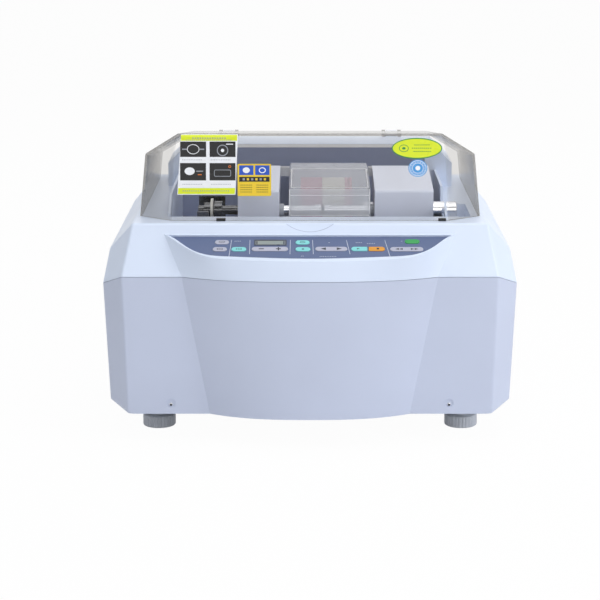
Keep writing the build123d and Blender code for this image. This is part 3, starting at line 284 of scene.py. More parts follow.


# clear moulded plastic: see-through from the front and hazy where it is seen edge on
# topShade darkens the haze of upward faces as painted shade; frontPaintedLight adds haze to forward ones as
# painted light
def clearMoulding(name, clear, haze, veil, edge, power, frontPaintedLight=0.0, gloss=0.25, rough=0.12, topShade=1.0):
    material, tree, skin = newFinish(name)
    place = stretched(tree, (1, 1, 1))
    surface = addNode(tree, "TexCoord")              # its normal turns with the piece
    axes = addNode(tree, "SeparateXYZ")
    tree.links.new(surface.outputs["Normal"], axes.inputs[0])
    # painted shade: topShade darkens the haze colour of upward faces
    upward = addNode(tree, "MapRange", {"From Min": clearSettings["topStart"],
                                        "From Max": clearSettings["topFull"], "To Min": 1.0,
                                        "To Max": topShade})
    tree.links.new(axes.outputs["Z"], upward.inputs[0])
    hazy = addNode(tree, "VectorMath", operation="SCALE")
    tree.links.new(blotch(tree, speckle(tree, place, 9, 0, 1), shaded(haze, 0.93), shaded(haze, 1.07)),
                   hazy.inputs[0])
    tree.links.new(upward.outputs[0], hazy.inputs["Scale"])
    tree.links.new(hazy.outputs[0], skin.inputs["Base Color"])
    tree.links.new(speckle(tree, place, 140, rough - 0.04, rough + 0.06), skin.inputs["Roughness"])
    skin.inputs["Specular IOR Level"].default_value = gloss
    window = addNode(tree, "BsdfTransparent", {"Color": clear})
    facing = addNode(tree, "LayerWeight", {"Blend": 0.5})
    steep = addNode(tree, "Math", {1: power}, operation="POWER")
    span = addNode(tree, "MapRange", {"To Min": veil, "To Max": edge})
    tree.links.new(facing.outputs["Facing"], steep.inputs[0])
    tree.links.new(steep.outputs[0], span.inputs[0])
    dust = speckle(tree, place, 45, 0, clearSettings["dust"], 4)
    parts = [span.outputs[0], dust]
    # painted light: forward faces get more of the pale haze
    if frontPaintedLight:
        front = addNode(tree, "MapRange", {"From Min": clearSettings["frontStart"],
                                           "From Max": clearSettings["frontFull"], "To Min": 0.0,
                                           "To Max": frontPaintedLight})
        tree.links.new(axes.outputs["Y"], front.inputs[0])
        parts.append(front.outputs[0])
    share = parts[0]
    for part in parts[1:]:
        both = addNode(tree, "Math", operation="ADD", use_clamp=True)
        tree.links.new(share, both.inputs[0])
        tree.links.new(part, both.inputs[1])
        share = both.outputs[0]
    # lamp light passes the clear walls almost unhindered
    path = addNode(tree, "LightPath")
    passing = addNode(tree, "MapRange", {"To Min": 1.0, "To Max": clearSettings["shadow"]})
    blocked = addNode(tree, "Math", operation="MULTIPLY")
    tree.links.new(path.outputs["Is Shadow Ray"], passing.inputs[0])
    tree.links.new(share, blocked.inputs[0])
    tree.links.new(passing.outputs[0], blocked.inputs[1])
    share = blocked.outputs[0]
    mix = addNode(tree, "MixShader")
    tree.links.new(share, mix.inputs[0])
    tree.links.new(window.outputs[0], mix.inputs[1])
    tree.links.new(skin.outputs[0], mix.inputs[2])
    tree.links.new(mix.outputs[0], tree.nodes["Material Output"].inputs["Surface"])
    return material


# metal bond with diamond grit of the given size
def diamondBond(name, colour, coarse):
    material, tree, skin = newFinish(name)
    place = stretched(tree, (1, 1, 1))
    grit = addNode(tree, "TexVoronoi", {"Scale": 1 / coarse})
    tree.links.new(place, grit.inputs["Vector"])
    tree.links.new(blotch(tree, grit.outputs["Distance"], shaded(colour, 1.25), shaded(colour, 0.8)),
                   skin.inputs["Base Color"])
    tree.links.new(speckle(tree, place, 0.5 / coarse, 0.45, 0.8), skin.inputs["Roughness"])
    roughen(tree, skin, grit.outputs["Distance"], 0.6, coarse * 0.3)
    return material


def softRubber(name, colour):
    material, tree, skin = newFinish(name)
    place = stretched(tree, (1, 1, 1))
    tree.links.new(blotch(tree, speckle(tree, place, 60, 0, 1), shaded(colour, 0.8), shaded(colour, 1.3)),
                   skin.inputs["Base Color"])
    tree.links.new(speckle(tree, place, 300, 0.6, 0.85), skin.inputs["Roughness"])
    roughen(tree, skin, speckle(tree, place, 900, 0, 1), 0.2, 0.00005)
    return material


finishes = {
    "white_shell": mouldedPlastic("white shell", tone(217, 228, 247)),
    "grey_shell": mouldedPlastic("grey shell", tone(197, 205, 226), rough=0.38),
    "slate_liner": mouldedPlastic("slate liner", tone(141, 150, 177), rough=0.5),
    "steel_plate": paintedMetal("coated plate", tone(178, 182, 188)),
    "panel_slate": mouldedPlastic("panel film", tone(88, 103, 140), rough=0.5, grain=0.05, grainSize=0.0004),
    "display_glass": mouldedPlastic("display pane", tone(160, 168, 178), rough=0.18, grain=0.0),
    "board_green": mouldedPlastic("circuit board", tone(34, 96, 60), rough=0.4),
    "bearing_steel": turnedMetal("bearing steel", tone(178, 180, 186), 0.32, (900, 900, 60)),
    "belt_rubber": softRubber("belt rubber", tone(28, 28, 28)),
    "motor_paint": paintedMetal("motor paint", tone(52, 54, 60)),
    "black_plastic": mouldedPlastic("black plastic", tone(34, 34, 37), rough=0.45),
    "dark_bracket": paintedMetal("dark bracket", tone(58, 62, 74)),
    "brass_fitting": turnedMetal("brass fitting", tone(205, 176, 110), 0.25, (40, 3000, 40)),
    "screw_steel": turnedMetal("screw steel", tone(205, 207, 212), 0.2, (300, 300, 300)),
    "clear_hood": clearMoulding("clear hood", (0.985, 0.98, 0.975, 1), tone(142, 139, 133), 0.02, 0.85, 1.4,
                               topShade=0.75, gloss=0.05),
    "black_rubber": softRubber("black rubber", tone(26, 26, 28)),
    "ground_steel": turnedMetal("ground steel", tone(205, 208, 214), 0.2, darkLeft=-0.085),
    "cast_frame": paintedMetal("cast frame", tone(172, 176, 184), 0.5, 420),
    "arm_white": mouldedPlastic("arm white", tone(216, 222, 238), rough=0.36),
    "clear_splash": clearMoulding("clear splash cover", (0.985, 0.985, 0.99, 1), tone(238, 242, 250), 0.05,
                                  0.85, 4.0, frontPaintedLight=0.34, gloss=0.5),
    "former_plastic": mouldedPlastic("pattern plastic", tone(205, 205, 200), rough=0.5),
    "chrome_knob": turnedMetal("chrome knob", tone(225, 227, 232), 0.1, (2500, 30, 30), 0.03),
    "rough_grit": diamondBond("rough grit", tone(140, 50, 95), 0.0009),
    "fine_grit": diamondBond("fine grit", tone(176, 172, 160), 0.0005),
    "polish_grit": diamondBond("polish grit", tone(150, 56, 96), 0.0003),
    "key_grey": mouldedPlastic("grey key", tone(180, 182, 200), rough=0.4, grain=0.05),
    "key_cyan": mouldedPlastic("cyan key", tone(132, 214, 216), rough=0.4, grain=0.05),
    "key_orange": mouldedPlastic("orange key", tone(222, 152, 46), rough=0.4, grain=0.05),
    "key_green": mouldedPlastic("green key", tone(52, 160, 84), rough=0.4, grain=0.05),
    "foot_grey": mouldedPlastic("foot grey", tone(196, 200, 208), rough=0.5, grain=0.3, grainSize=0.001),
}

for part in frame["record"]["subparts"]:
    piece = nodes[part["node"]]
    piece.data.materials.clear()
    piece.data.materials.append(finishes[part["material_slot"]])
print("finishes are on", len(nodes), "nodes")


def oval(x, y, halfWide, halfHigh, steps=40):
    turns = [2 * math.pi * k / steps for k in range(steps)]
    return [(x + halfWide * math.cos(a), y + halfHigh * math.sin(a)) for a in turns]


def rectangle(x, y, wide, high):
    return [(x - wide / 2, y - high / 2), (x + wide / 2, y - high / 2),
            (x + wide / 2, y + high / 2), (x - wide / 2, y + high / 2)]


def roundedRectangle(x, y, wide, high, r, steps=6):
    points = []
    for cornerX, cornerY, start in ((1, 1, 0), (-1, 1, 90), (-1, -1, 180), (1, -1, 270)):
        for k in range(steps + 1):
            a = math.radians(start + 90 * k / steps)
            points.append((x + cornerX * (wide / 2 - r) + r * math.cos(a),
                           y + cornerY * (high / 2 - r) + r * math.sin(a)))
    return points


# flat prism in mm on a plane; with a hole of as many points it is a band
def addPrism(builder, plane, outline, low, high, finish, hole=None):
    def ring(points, lift):
        return [builder.verts.new(plane @ Vector((x * mm, y * mm, lift * mm))) for x, y in points]

    bottom, top = ring(outline, low), ring(outline, high)
    count = len(outline)
    faces = []
    if hole:
        innerBottom, innerTop = ring(hole, low), ring(hole, high)
    else:
        faces += [builder.faces.new(bottom[::-1]), builder.faces.new(top)]
    for k in range(count):
        n = (k + 1) % count
        faces.append(builder.faces.new((bottom[k], bottom[n], top[n], top[k])))
        if hole:
            faces.append(builder.faces.new((innerBottom[n], innerBottom[k], innerTop[k], innerTop[n])))
            faces.append(builder.faces.new((top[k], top[n], innerTop[n], innerTop[k])))
            faces.append(builder.faces.new((bottom[n], bottom[k], innerBottom[k], innerBottom[n])))
    for face in faces:
        face.material_index = finish


def finishPiece(name, builder, materials, body, smooth=False):
    mesh = bpy.data.meshes.new(name)
    bmesh.ops.recalc_face_normals(builder, faces=builder.faces)
    builder.to_mesh(mesh)
    builder.free()
    for material in materials:
        mesh.materials.append(material)
    if smooth:
        mesh.polygons.foreach_set("use_smooth", [True] * len(mesh.polygons))
    piece = bpy.data.objects.new(name, mesh)
    bpy.context.scene.collection.objects.link(piece)
    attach(piece, body)
    return piece


# ink or film, with the faint unevenness of print
def printed(name, colour, rough=0.3):
    return mouldedPlastic(name, colour, rough, 0.03, 0.03, 0.0003)


panelSettings = {
    "tilt": 27.0,              # degrees from level
    "edge": (0.0, -190.62, 272.0),       # middle of the panel's upper edge
    "lineWidth": 0.7,
    # ends of the dividing lines: x and distance below the panel's edge
    "dividers": (((-101.1, 6.6), (-103.5, 42.0)), ((-77.4, 6.6), (-77.3, 36.0)),
                 ((-25.3, 6.6), (-25.6, 36.0)), ((3.2, 6.6), (4.3, 36.0)),
                 ((46.9, 6.6), (51.1, 36.0)), ((96.3, 6.6), (102.3, 42.0))),
    # rows of small marks: x of the middle, distance below the edge, width of the row
    "marks": ((-92, 9, 9), (-8, 40, 6), (24, 41, 22), (64, 12, 9), (80, 14, 12), (26, 12, 3), (120, 9, 4)),
    "markPitch": 2.2,
    "markSize": (1.3, 0.9),
    "rise": 0.7,               # key tops above the film
    "inkUnder": 0.02,          # key symbols reach this far below the key tops and this far above
    "inkOver": 0.06,
}

panelPlane = (Matrix.Translation(Vector(panelSettings["edge"]) * mm)
              @ Matrix.Rotation(math.radians(panelSettings["tilt"]), 4, "X"))
lineInk = printed("light line ink", tone(196, 202, 218))
# dark ink for the key symbols, also painted shadow for the front screws' recesses
darkInkAndShade = printed("dark ink and painted shade", tone(44, 48, 60))
bezelInk = printed("display bezel", tone(70, 76, 92))
segmentInk = printed("display glass tint", tone(150, 160, 160), 0.15)


def drawDividers():
    builder = bmesh.new()
    half = panelSettings["lineWidth"] / 2
    for (x0, v0), (x1, v1) in panelSettings["dividers"]:
        line = [(x0 - half, -v0), (x1 - half, -v1), (x1 + half, -v1), (x0 + half, -v0)]
        addPrism(builder, panelPlane, line, 0.0, 0.06, 0)
    pitch = panelSettings["markPitch"]
    for x, v, wide in panelSettings["marks"]:
        for k in range(int(wide / pitch)):
            mark = rectangle(x + pitch * k - wide / 2, -v, *panelSettings["markSize"])
            addPrism(builder, panelPlane, mark, 0.0, 0.05, 0)
    finishPiece("panel_lines", builder, [lineInk], "housing")


displaySettings = {
    "place": (12.2, 9.6),      # distance below the panel's edge, height
    "frame": 2.6,              # bezel beyond the window
    "inside": (1.4, 1.6),      # bezel's opening within the window
    "bar": (2.4, 1.8, 3.4),    # end bars: in from the side, width, shorter than the window
}


def drawDisplay():
    low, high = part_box("display_window")
    x = (low.x + high.x) / 2 / mm
    wide = (high.x - low.x) / mm
    (v, tall), frame = displaySettings["place"], displaySettings["frame"]
    (insideX, insideY), (barIn, barWide, barShort) = displaySettings["inside"], displaySettings["bar"]
    builder = bmesh.new()
    outer = roundedRectangle(x, -v, wide + frame, tall + frame, 1.2)
    inner = roundedRectangle(x, -v, wide - insideX, tall - insideY, 0.8)
    addPrism(builder, panelPlane, outer, 0.0, 0.35, 0, hole=inner)
    pane = roundedRectangle(x, -v, wide - insideX - 0.1, tall - insideY - 0.1, 0.7)
    addPrism(builder, panelPlane, pane, -0.08, 0.04, 1)
    for side in (-1, 1):
        stripe = rectangle(x + side * (wide / 2 - barIn), -v, barWide, tall - barShort)
        addPrism(builder, panelPlane, stripe, 0.02, 0.08, 0)
    finishPiece("display_bezel", builder, [bezelInk, segmentInk], "housing")


def keySymbol(name, body, shapes):
    builder = bmesh.new()
    top = panelSettings["rise"]
    low, high = top - panelSettings["inkUnder"], top + panelSettings["inkOver"]
    for outline, hole in shapes:
        addPrism(builder, panelPlane, outline, low, high, 0, hole=hole)
    finishPiece(name, builder, [darkInkAndShade], body)


symbolSettings = {
    # places: x and distance below the panel's upper edge
    "minus": (-62.5, 25.8),
    "plus": (-40.5, 25.8),
    "left": (17.0, 25.6),
    "right": (37.6, 25.6),
    "rewind": ((111.5, 26.2), (116.4, 26.2)),
    "forward": ((131.6, 26.2), (136.5, 26.2)),
    "mode": (-113.3, 11.5),
    "type": (-115.6, 26.2),
    "material": ((-94.0, 26.2), (-91.2, 26.2), (-88.4, 26.2)),
    "sizeSet": (-9.6, 12.0),
    "polish": (-9.1, 26.2),
    "start": (62.0, 25.6),
    "stop": (87.0, 25.6),
    # sizes
    "stroke": (6.4, 1.7),
    "plusArm": (2.05, 1.7, 2.4),       # distance from the middle, width, height
    "arrow": 4.2,
    "smallArrow": 3.0,
    "startArrow": 2.2,
    "dot": (1.8, 1.8),
    "square": (3.0, 3.0),
}


# triangle that points right for way 1 and left for -1
def arrow(place, size, way):
    x, v = place
    long, high = way * size * 0.8, size * 0.62
    points = [(x - long, -v - high), (x + long, -v), (x - long, -v + high)]
    return (points if way > 0 else points[::-1]), None


def bar(place, wide, high):
    return rectangle(place[0], -place[1], wide, high), None


def ovalBand(place, halfWide, halfHigh, line):
    x, v = place
    return oval(x, -v, halfWide, halfHigh), oval(x, -v, halfWide - line, halfHigh - line)


def drawKeySymbols():
    look = symbolSettings
    (plusX, plusV), (reach, armWide, armHigh) = look["plus"], look["plusArm"]
    keySymbol("symbol_minus_plus", "key_minus_plus_body", [
        bar(look["minus"], *look["stroke"]), bar(look["plus"], *look["stroke"]),
        bar((plusX, plusV - reach), armWide, armHigh), bar((plusX, plusV + reach), armWide, armHigh)])
    keySymbol("symbol_left_right", "key_left_right_body", [
        arrow(look["left"], look["arrow"], -1), arrow(look["right"], look["arrow"], 1)])
    keySymbol("symbol_rewind_forward", "key_rewind_forward_body",
              [arrow(place, look["smallArrow"], -1) for place in look["rewind"]]
              + [arrow(place, look["smallArrow"], 1) for place in look["forward"]])
    keySymbol("symbol_mode", "key_mode_body", [ovalBand(look["mode"], 4.2, 1.7, 0.6)])
    x, v = look["type"]
    keySymbol("symbol_type", "key_type_body", [
        (roundedRectangle(x, -v, 7.6, 3.0, 0.8), roundedRectangle(x, -v, 6.4, 1.8, 0.4))])
    keySymbol("symbol_material", "key_material_body",
              [bar(place, *look["dot"]) for place in look["material"]])
    keySymbol("symbol_size_set", "key_size_set_body", [ovalBand(look["sizeSet"], 3.6, 1.6, 0.6)])
    keySymbol("symbol_polish", "key_polish_body", [ovalBand(look["polish"], 1.5, 1.5, 0.7)])
    keySymbol("symbol_start", "key_start_body", [arrow(look["start"], look["startArrow"], 1)])
    keySymbol("symbol_stop", "key_stop_body", [bar(look["stop"], *look["square"])])


drawDividers()
drawDisplay()
drawKeySymbols()
print("key panel is dressed")


splashHighlightInk = printed("painted edge highlight", tone(246, 248, 255), 0.2)
scoopShadeInk = printed("scoop edge painted shade", tone(184, 194, 216))
lipLightInk = printed("lip painted light", tone(252, 254, 255), 0.5)

splashHighlightSettings = {
    "brow": (26.0, -116.0, 323.5),     # middle of the edge between the cover's sloping top and its front
    "tilt": 4.89,                      # degrees by which the top slopes
    "half": 54.0,                      # half of the cover's width
    "long": 111.4,                     # along the slope
    "tall": 37.5,                      # of the front
    "wide": 1.0,
    "thick": 0.12,
    "crossLines": (3.2, 110.4),        # on the slope, up from the brow
    "frontLines": (-9.6, -36.5),       # on the front, from the brow
}

scoopShadeSettings = {
    "edge": (0.0, -183.0, 288.5),      # middle of the deck's front edge
    "slope": (30.0, 65.0),             # how far the front below it runs forward and down
    "half": 31.0,
    "drop": 11.0,
    "wide": 0.8,
    "span": 0.97,                      # the line stops just short of the deck's edge
    "steps": 40,
}

lipLightSettings = {"left": -176.0, "right": 165.0, "low": 344.9, "high": 349.4, "y": 116.25, "thick": 0.1}


# painted highlight: bright strips along the clear splash cover's edges, across its slope and its front
def drawSplashHighlights():
    names = ("half", "long", "tall", "wide", "thick")
    half, length, tall, wide, thick = (splashHighlightSettings[name] for name in names)
    place = Matrix.Translation(Vector(splashHighlightSettings["brow"]) * mm)
    slope = place @ Matrix.Rotation(math.radians(splashHighlightSettings["tilt"]), 4, "X")
    front = place @ Matrix.Rotation(math.pi / 2, 4, "X")
    builder = bmesh.new()
    for side in (-1, 1):
        addPrism(builder, slope, rectangle(side * (half - 3), length / 2, wide, length - 7), 0.0, thick, 0)
        addPrism(builder, front, rectangle(side * (half - wide), 1 - tall / 2, wide, tall - 5), 0.0, thick, 0)
    for y in splashHighlightSettings["crossLines"]:
        addPrism(builder, slope, rectangle(0, y, 2 * half - 7, wide), 0.0, thick, 0)
    for y in splashHighlightSettings["frontLines"]:
        addPrism(builder, front, rectangle(0, y, 2 * half - 4, wide * 0.8), 0.0, thick, 0)
    finishPiece("splash_edge_highlights", builder, [splashHighlightInk], "splash_guard")


# painted shade: a thin darker arc along the edge of the finger scoop
def drawScoopShade():
    half, drop, wide, steps = (scoopShadeSettings[name] for name in ("half", "drop", "wide", "steps"))
    lean = math.atan2(*scoopShadeSettings["slope"])
    place = Matrix.Translation(Vector(scoopShadeSettings["edge"]) * mm)
    plane = place @ Matrix.Rotation(math.pi / 2 - lean, 4, "X")
    r = (half ** 2 + drop ** 2) / (2 * drop)
    span = math.asin(half / r) * scoopShadeSettings["span"]
    angles = [span * (2 * k / steps - 1) for k in range(steps + 1)]
    outline = [((r + wide) * math.sin(a), r - drop - (r + wide) * math.cos(a)) for a in angles]
    outline += [(r * math.sin(a), r - drop - r * math.cos(a)) for a in reversed(angles)]
    builder = bmesh.new()
    addPrism(builder, plane, outline, 0.0, 0.1, 0)
    finishPiece("scoop_edge_shade", builder, [scoopShadeInk], "housing")


# painted light: a brighter white strip on the housing's lip, which lies in the hood's shade
def drawLipLight():
    left, right, low, high, y, thick = lipLightSettings.values()
    plane = Matrix.Translation(Vector((0, y, 0)) * mm) @ Matrix.Rotation(math.pi / 2, 4, "X")
    face = rectangle((left + right) / 2, (low + high) / 2, right - left, high - low)
    builder = bmesh.new()
    addPrism(builder, plane, face, 0.0, thick, 0)
    finishPiece("lip_painted_light", builder, [lipLightInk], "housing")


drawSplashHighlights()
drawScoopShade()
drawLipLight()
print("rims are drawn")


stickerSettings = {
    "lean": 0.0551,            # how far the hood's front leans back for each mm of height
    "lift": 0.05,
    "thick": 0.12,
    "flat": 108.5,             # height of the hood's flat front, above its foot
    "round": 4.5,              # rounding above that
    "step": 0.8,               # height of the strips that follow the rounding
    "layer": 0.02,             # each printed layer stands this much above the one below
    "dash": 0.62,              # share of a row of dashes that is inked
}


def hoodPlane():
    low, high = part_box("hood")
    up = Vector((0, stickerSettings["lean"], 1)).normalized()
    out = Vector((0, -1, stickerSettings["lean"])).normalized()
    plane = Matrix((Vector((1, 0, 0)), up, out)).transposed().to_4x4()
    return Matrix.Translation((0, low.y, low.z)) @ plane


stickerPlane = hoodPlane()
stickerInks = [printed("sticker white", tone(244, 246, 250)), printed("sticker lime", tone(222, 236, 40)),
               printed("sticker black", tone(18, 18, 20)), printed("sticker grey", tone(150, 154, 162)),
               printed("sticker yellow", tone(238, 204, 48)), printed("sticker blue", tone(36, 84, 190)),
               printed("sticker green", tone(40, 140, 70)), printed("sticker sky", tone(78, 156, 222)),
               printed("sticker orange", tone(228, 120, 40))]
white, lime, black, grey, yellow, blue, green, sky, orange = range(9)


# what lies above the flat front follows the hood's rounded top edge
def laidOnHood(point):
    over = point.y / mm - stickerSettings["flat"]
    if over > 0:
        r, out = stickerSettings["round"], point.z / mm
        turn = over / r
        point = Vector((point.x, (stickerSettings["flat"] + (r + out) * math.sin(turn)) * mm,
                        ((r + out) * math.cos(turn) - r) * mm))
    return stickerPlane @ point


# a four-cornered sheet, low edge first, cut into strips where it bends
def sheetStrips(lowLeft, lowRight, highRight, highLeft, layer, ink):
    foot, head = lowLeft[1], highLeft[1]
    cuts = [foot]
    y = max(stickerSettings["flat"], foot)
    while y < head - 0.1:
        if y > foot:
            cuts.append(y)
        y += stickerSettings["step"]
    cuts.append(head)

    def across(y):
        share = (y - foot) / (head - foot)
        return (lowLeft[0] + share * (highLeft[0] - lowLeft[0]),
                lowRight[0] + share * (highRight[0] - lowRight[0]))

    strips = []
    for low, high in zip(cuts, cuts[1:]):
        (a, b), (c, d) = across(low), across(high)
        strips.append(([(a, low), (b, low), (d, high), (c, high)], layer, ink, None))
    return strips


# layers: outline, layer number, ink, and a hole or None
def drawSticker(name, layers):
    builder = bmesh.new()
    for outline, layer, ink, hole in layers:
        top = stickerSettings["lift"] + stickerSettings["thick"]
        low = top + stickerSettings["layer"] * (layer - 1) if layer else stickerSettings["lift"]
        high = top + stickerSettings["layer"] * layer
        addPrism(builder, Matrix.Identity(4), outline, low, high, ink, hole)
    for vert in builder.verts:
        vert.co = laidOnHood(vert.co)
    finishPiece(name, builder, stickerInks, "hood")


def dashes(x, y, wide, step, high, ink):
    left, inked, count = x - wide / 2, step * stickerSettings["dash"], int(wide / step)
    return [(rectangle(left + step * (k + 0.5), y, inked, high), 2, ink, None) for k in range(count)]


pictureSettings = {
    # sheet and its lime bands: corners from the low left, anticlockwise
    "sheet": ((-172.5, 33.9), (-96.8, 33.9), (-93.1, 112.5), (-166.5, 112.5)),
    "upperBand": ((-167.2, 103.9), (-94.4, 103.9), (-94.0, 111.8), (-166.6, 111.8)),
    "lowerBand": ((-171.6, 34.8), (-97.6, 34.8), (-97.2, 42.6), (-171.0, 42.6)),
    # rows of dashes: x, height, width, pitch, dash height
    "dashes": ((-130, 107.4, 46, 3.2, 1.4), (-131, 105.0, 60, 2.6, 0.8), (-134, 38.8, 64, 2.8, 1.0),
               (-152, 79.2, 28, 2.2, 0.7), (-115, 79.2, 28, 2.2, 0.7), (-152, 47.5, 28, 2.2, 0.7),
               (-115, 47.5, 28, 2.2, 0.7)),
    # black pictures: x, height of the middle, height
    "pictures": ((-151.2, 93.0, 20.0), (-113.2, 93.0, 20.0), (-151.6, 63.8, 22.6), (-113.4, 63.8, 22.6)),
    "pictureWide": 33.6,
}


def drawPictureSheet():
    layers = sheetStrips(*pictureSettings["sheet"], 0, white)
    layers += sheetStrips(*pictureSettings["upperBand"], 1, lime)
    layers.append((list(pictureSettings["lowerBand"]), 1, lime, None))
    for row in pictureSettings["dashes"]:
        layers += dashes(*row, grey)
    for x, y, tall in pictureSettings["pictures"]:
        layers.append((rectangle(x, y, pictureSettings["pictureWide"], tall), 1, black, None))
    # simple drawings: a lens between two pads, a wheel, a former and a hood outline
    layers += [
        (oval(-151.2, 93.0, 8.0, 6.4), 2, white, oval(-151.2, 93.0, 7.2, 5.6)),
        (rectangle(-162.5, 93.0, 6.0, 1.6), 2, grey, None),
        (rectangle(-139.9, 93.0, 6.0, 1.6), 2, grey, None),
        (oval(-113.2, 91.5, 7.4, 7.4), 2, grey, oval(-113.2, 91.5, 6.2, 6.2)),
        (oval(-113.2, 91.5, 2.2, 2.2), 2, white, None),
        (rectangle(-104.0, 99.6, 9.0, 1.2), 2, white, None),
        (oval(-156.0, 64.5, 6.6, 5.0), 2, white, None),
        (rectangle(-143.0, 64.5, 9.0, 1.4), 2, grey, None),
        (rectangle(-143.0, 60.0, 5.0, 1.2), 2, orange, None),
        (roundedRectangle(-113.4, 62.0, 22.0, 9.0, 2.0), 2, grey,
         roundedRectangle(-113.4, 62.0, 20.4, 7.4, 1.2)),
        (oval(-104.0, 70.5, 1.7, 1.7), 2, orange, oval(-104.0, 70.5, 1.0, 1.0)),
    ]
    drawSticker("sticker_pictures", layers)


yellowSettings = {
    "sheet": (-72.2, 53.1, 43.6, 41.8, 1.5),         # x, height, width, height, corner radius
    "panes": (-82.6, -61.8),                         # x of the two blue panes
    "paneAt": (65.8, 18.6, 12.6),                    # height of the middle, width, height
    "strip": (-72.2, 54.0, 39.4, 6.4),
    "squares": (-86.0, 5.5, 2.8, 6),                 # first x, pitch, size, number
    "text": (46.4, 3.0, 16, 2.2, 0.9),               # first height, row pitch, width, dash pitch, dash height
    "rows": 4,
}


def drawYellowSheet():
    x, y, wide, high, r = yellowSettings["sheet"]
    layers = [(roundedRectangle(x, y, wide, high, r), 0, yellow, None)]
    left, right = yellowSettings["panes"]
    paneY, paneWide, paneHigh = yellowSettings["paneAt"]
    for paneX in (left, right):
        layers.append((rectangle(paneX, paneY, paneWide, paneHigh), 1, blue, None))
    layers += [(oval(left, paneY, 4.6, 3.8), 2, white, None),
               (oval(right, paneY, 4.6, 3.8), 2, white, oval(right, paneY, 3.4, 2.6)),
               (rectangle(*yellowSettings["strip"]), 1, black, None)]
    first, pitch, size, number = yellowSettings["squares"]
    stripY = yellowSettings["strip"][1]
    for k in range(number):
        layers.append((rectangle(first + pitch * k, stripY, size, size), 2, yellow if k % 2 else grey, None))
    textY, rowPitch, textWide, dashPitch, dashHigh = yellowSettings["text"]
    for row in range(yellowSettings["rows"]):
        for textX in (left, right):
            layers += dashes(textX, textY - rowPitch * row, textWide, dashPitch, dashHigh, black)
    drawSticker("sticker_yellow", layers)


ovalSettings = {
    "place": (138.4, 94.2),
    "rim": (32.6, 13.5),       # half sizes of the green rim and of the lime field in it
    "field": (31.2, 12.2),
    "eye": -17,                # x of the eye from the middle
    "rows": ((4.4, 22), (0.2, 28), (-4.0, 24)),      # text rows: height from the middle, width
    "rowsAt": 7,
    "dash": (2.6, 1.1),
}


def drawOvalSticker():
    x, y = ovalSettings["place"]
    eye, textX = x + ovalSettings["eye"], x + ovalSettings["rowsAt"]
    layers = [(oval(x, y, *ovalSettings["rim"], 64), 0, green, None),
              (oval(x, y, *ovalSettings["field"], 64), 1, lime, None),
              (oval(eye, y, 6.2, 4.8), 2, green, oval(eye, y, 5.4, 4.0)),
              (oval(eye, y, 2.2, 1.7), 2, green, None)]
    for row, wide in ovalSettings["rows"]:
        layers += dashes(textX, y + row, wide, *ovalSettings["dash"], green)
    drawSticker("sticker_oval", layers)


roundSettings = {
    "place": (139.7, 68.5),
    "field": (12.2, 11.3),
    "bands": (((10.9, 10.1), (10.2, 9.4)), ((7.4, 6.9), (6.8, 6.3))),     # outer and inner half sizes
    "middle": (3.2, 3.0),
    "dots": 16,
    "dotsAt": (8.8, 8.1),
    "dotSize": 1.0,
}


def drawRoundSticker():
    x, y = roundSettings["place"]
    layers = [(oval(x, y, *roundSettings["field"], 48), 0, sky, None)]
    for outer, inner in roundSettings["bands"]:
        layers.append((oval(x, y, *outer, 48), 1, white, oval(x, y, *inner, 48)))
    layers.append((oval(x, y, *roundSettings["middle"]), 1, white, None))
    (reachX, reachY), size, dots = roundSettings["dotsAt"], roundSettings["dotSize"], roundSettings["dots"]
    for k in range(dots):
        a = 2 * math.pi * k / dots
        dot = rectangle(x + reachX * math.cos(a), y + reachY * math.sin(a), size, size)
        layers.append((dot, 1, white, None))
    drawSticker("sticker_round", layers)


drawPictureSheet()
drawYellowSheet()
drawOvalSticker()
drawRoundSticker()
print("stickers are on the hood")


footSettings = {
    "ribs": 28,
    "ribDepth": 0.9,
    "gripHeight": 16.0,
    "edge": 2.2,               # radius of the grip's rounded rims
    "edgeSteps": 4,
    "collar": 12.0,            # radius of the neck above the grip
    "collarHeight": 5.0,
    "stem": 5.0,
    "steps": 8,                # points for each rib
}


def wrapRings(builder, rings):
    for lower, upper in zip(rings, rings[1:]):
        for k in range(len(lower)):
            n = (k + 1) % len(lower)
            builder.faces.new((lower[k], lower[n], upper[n], upper[k]))


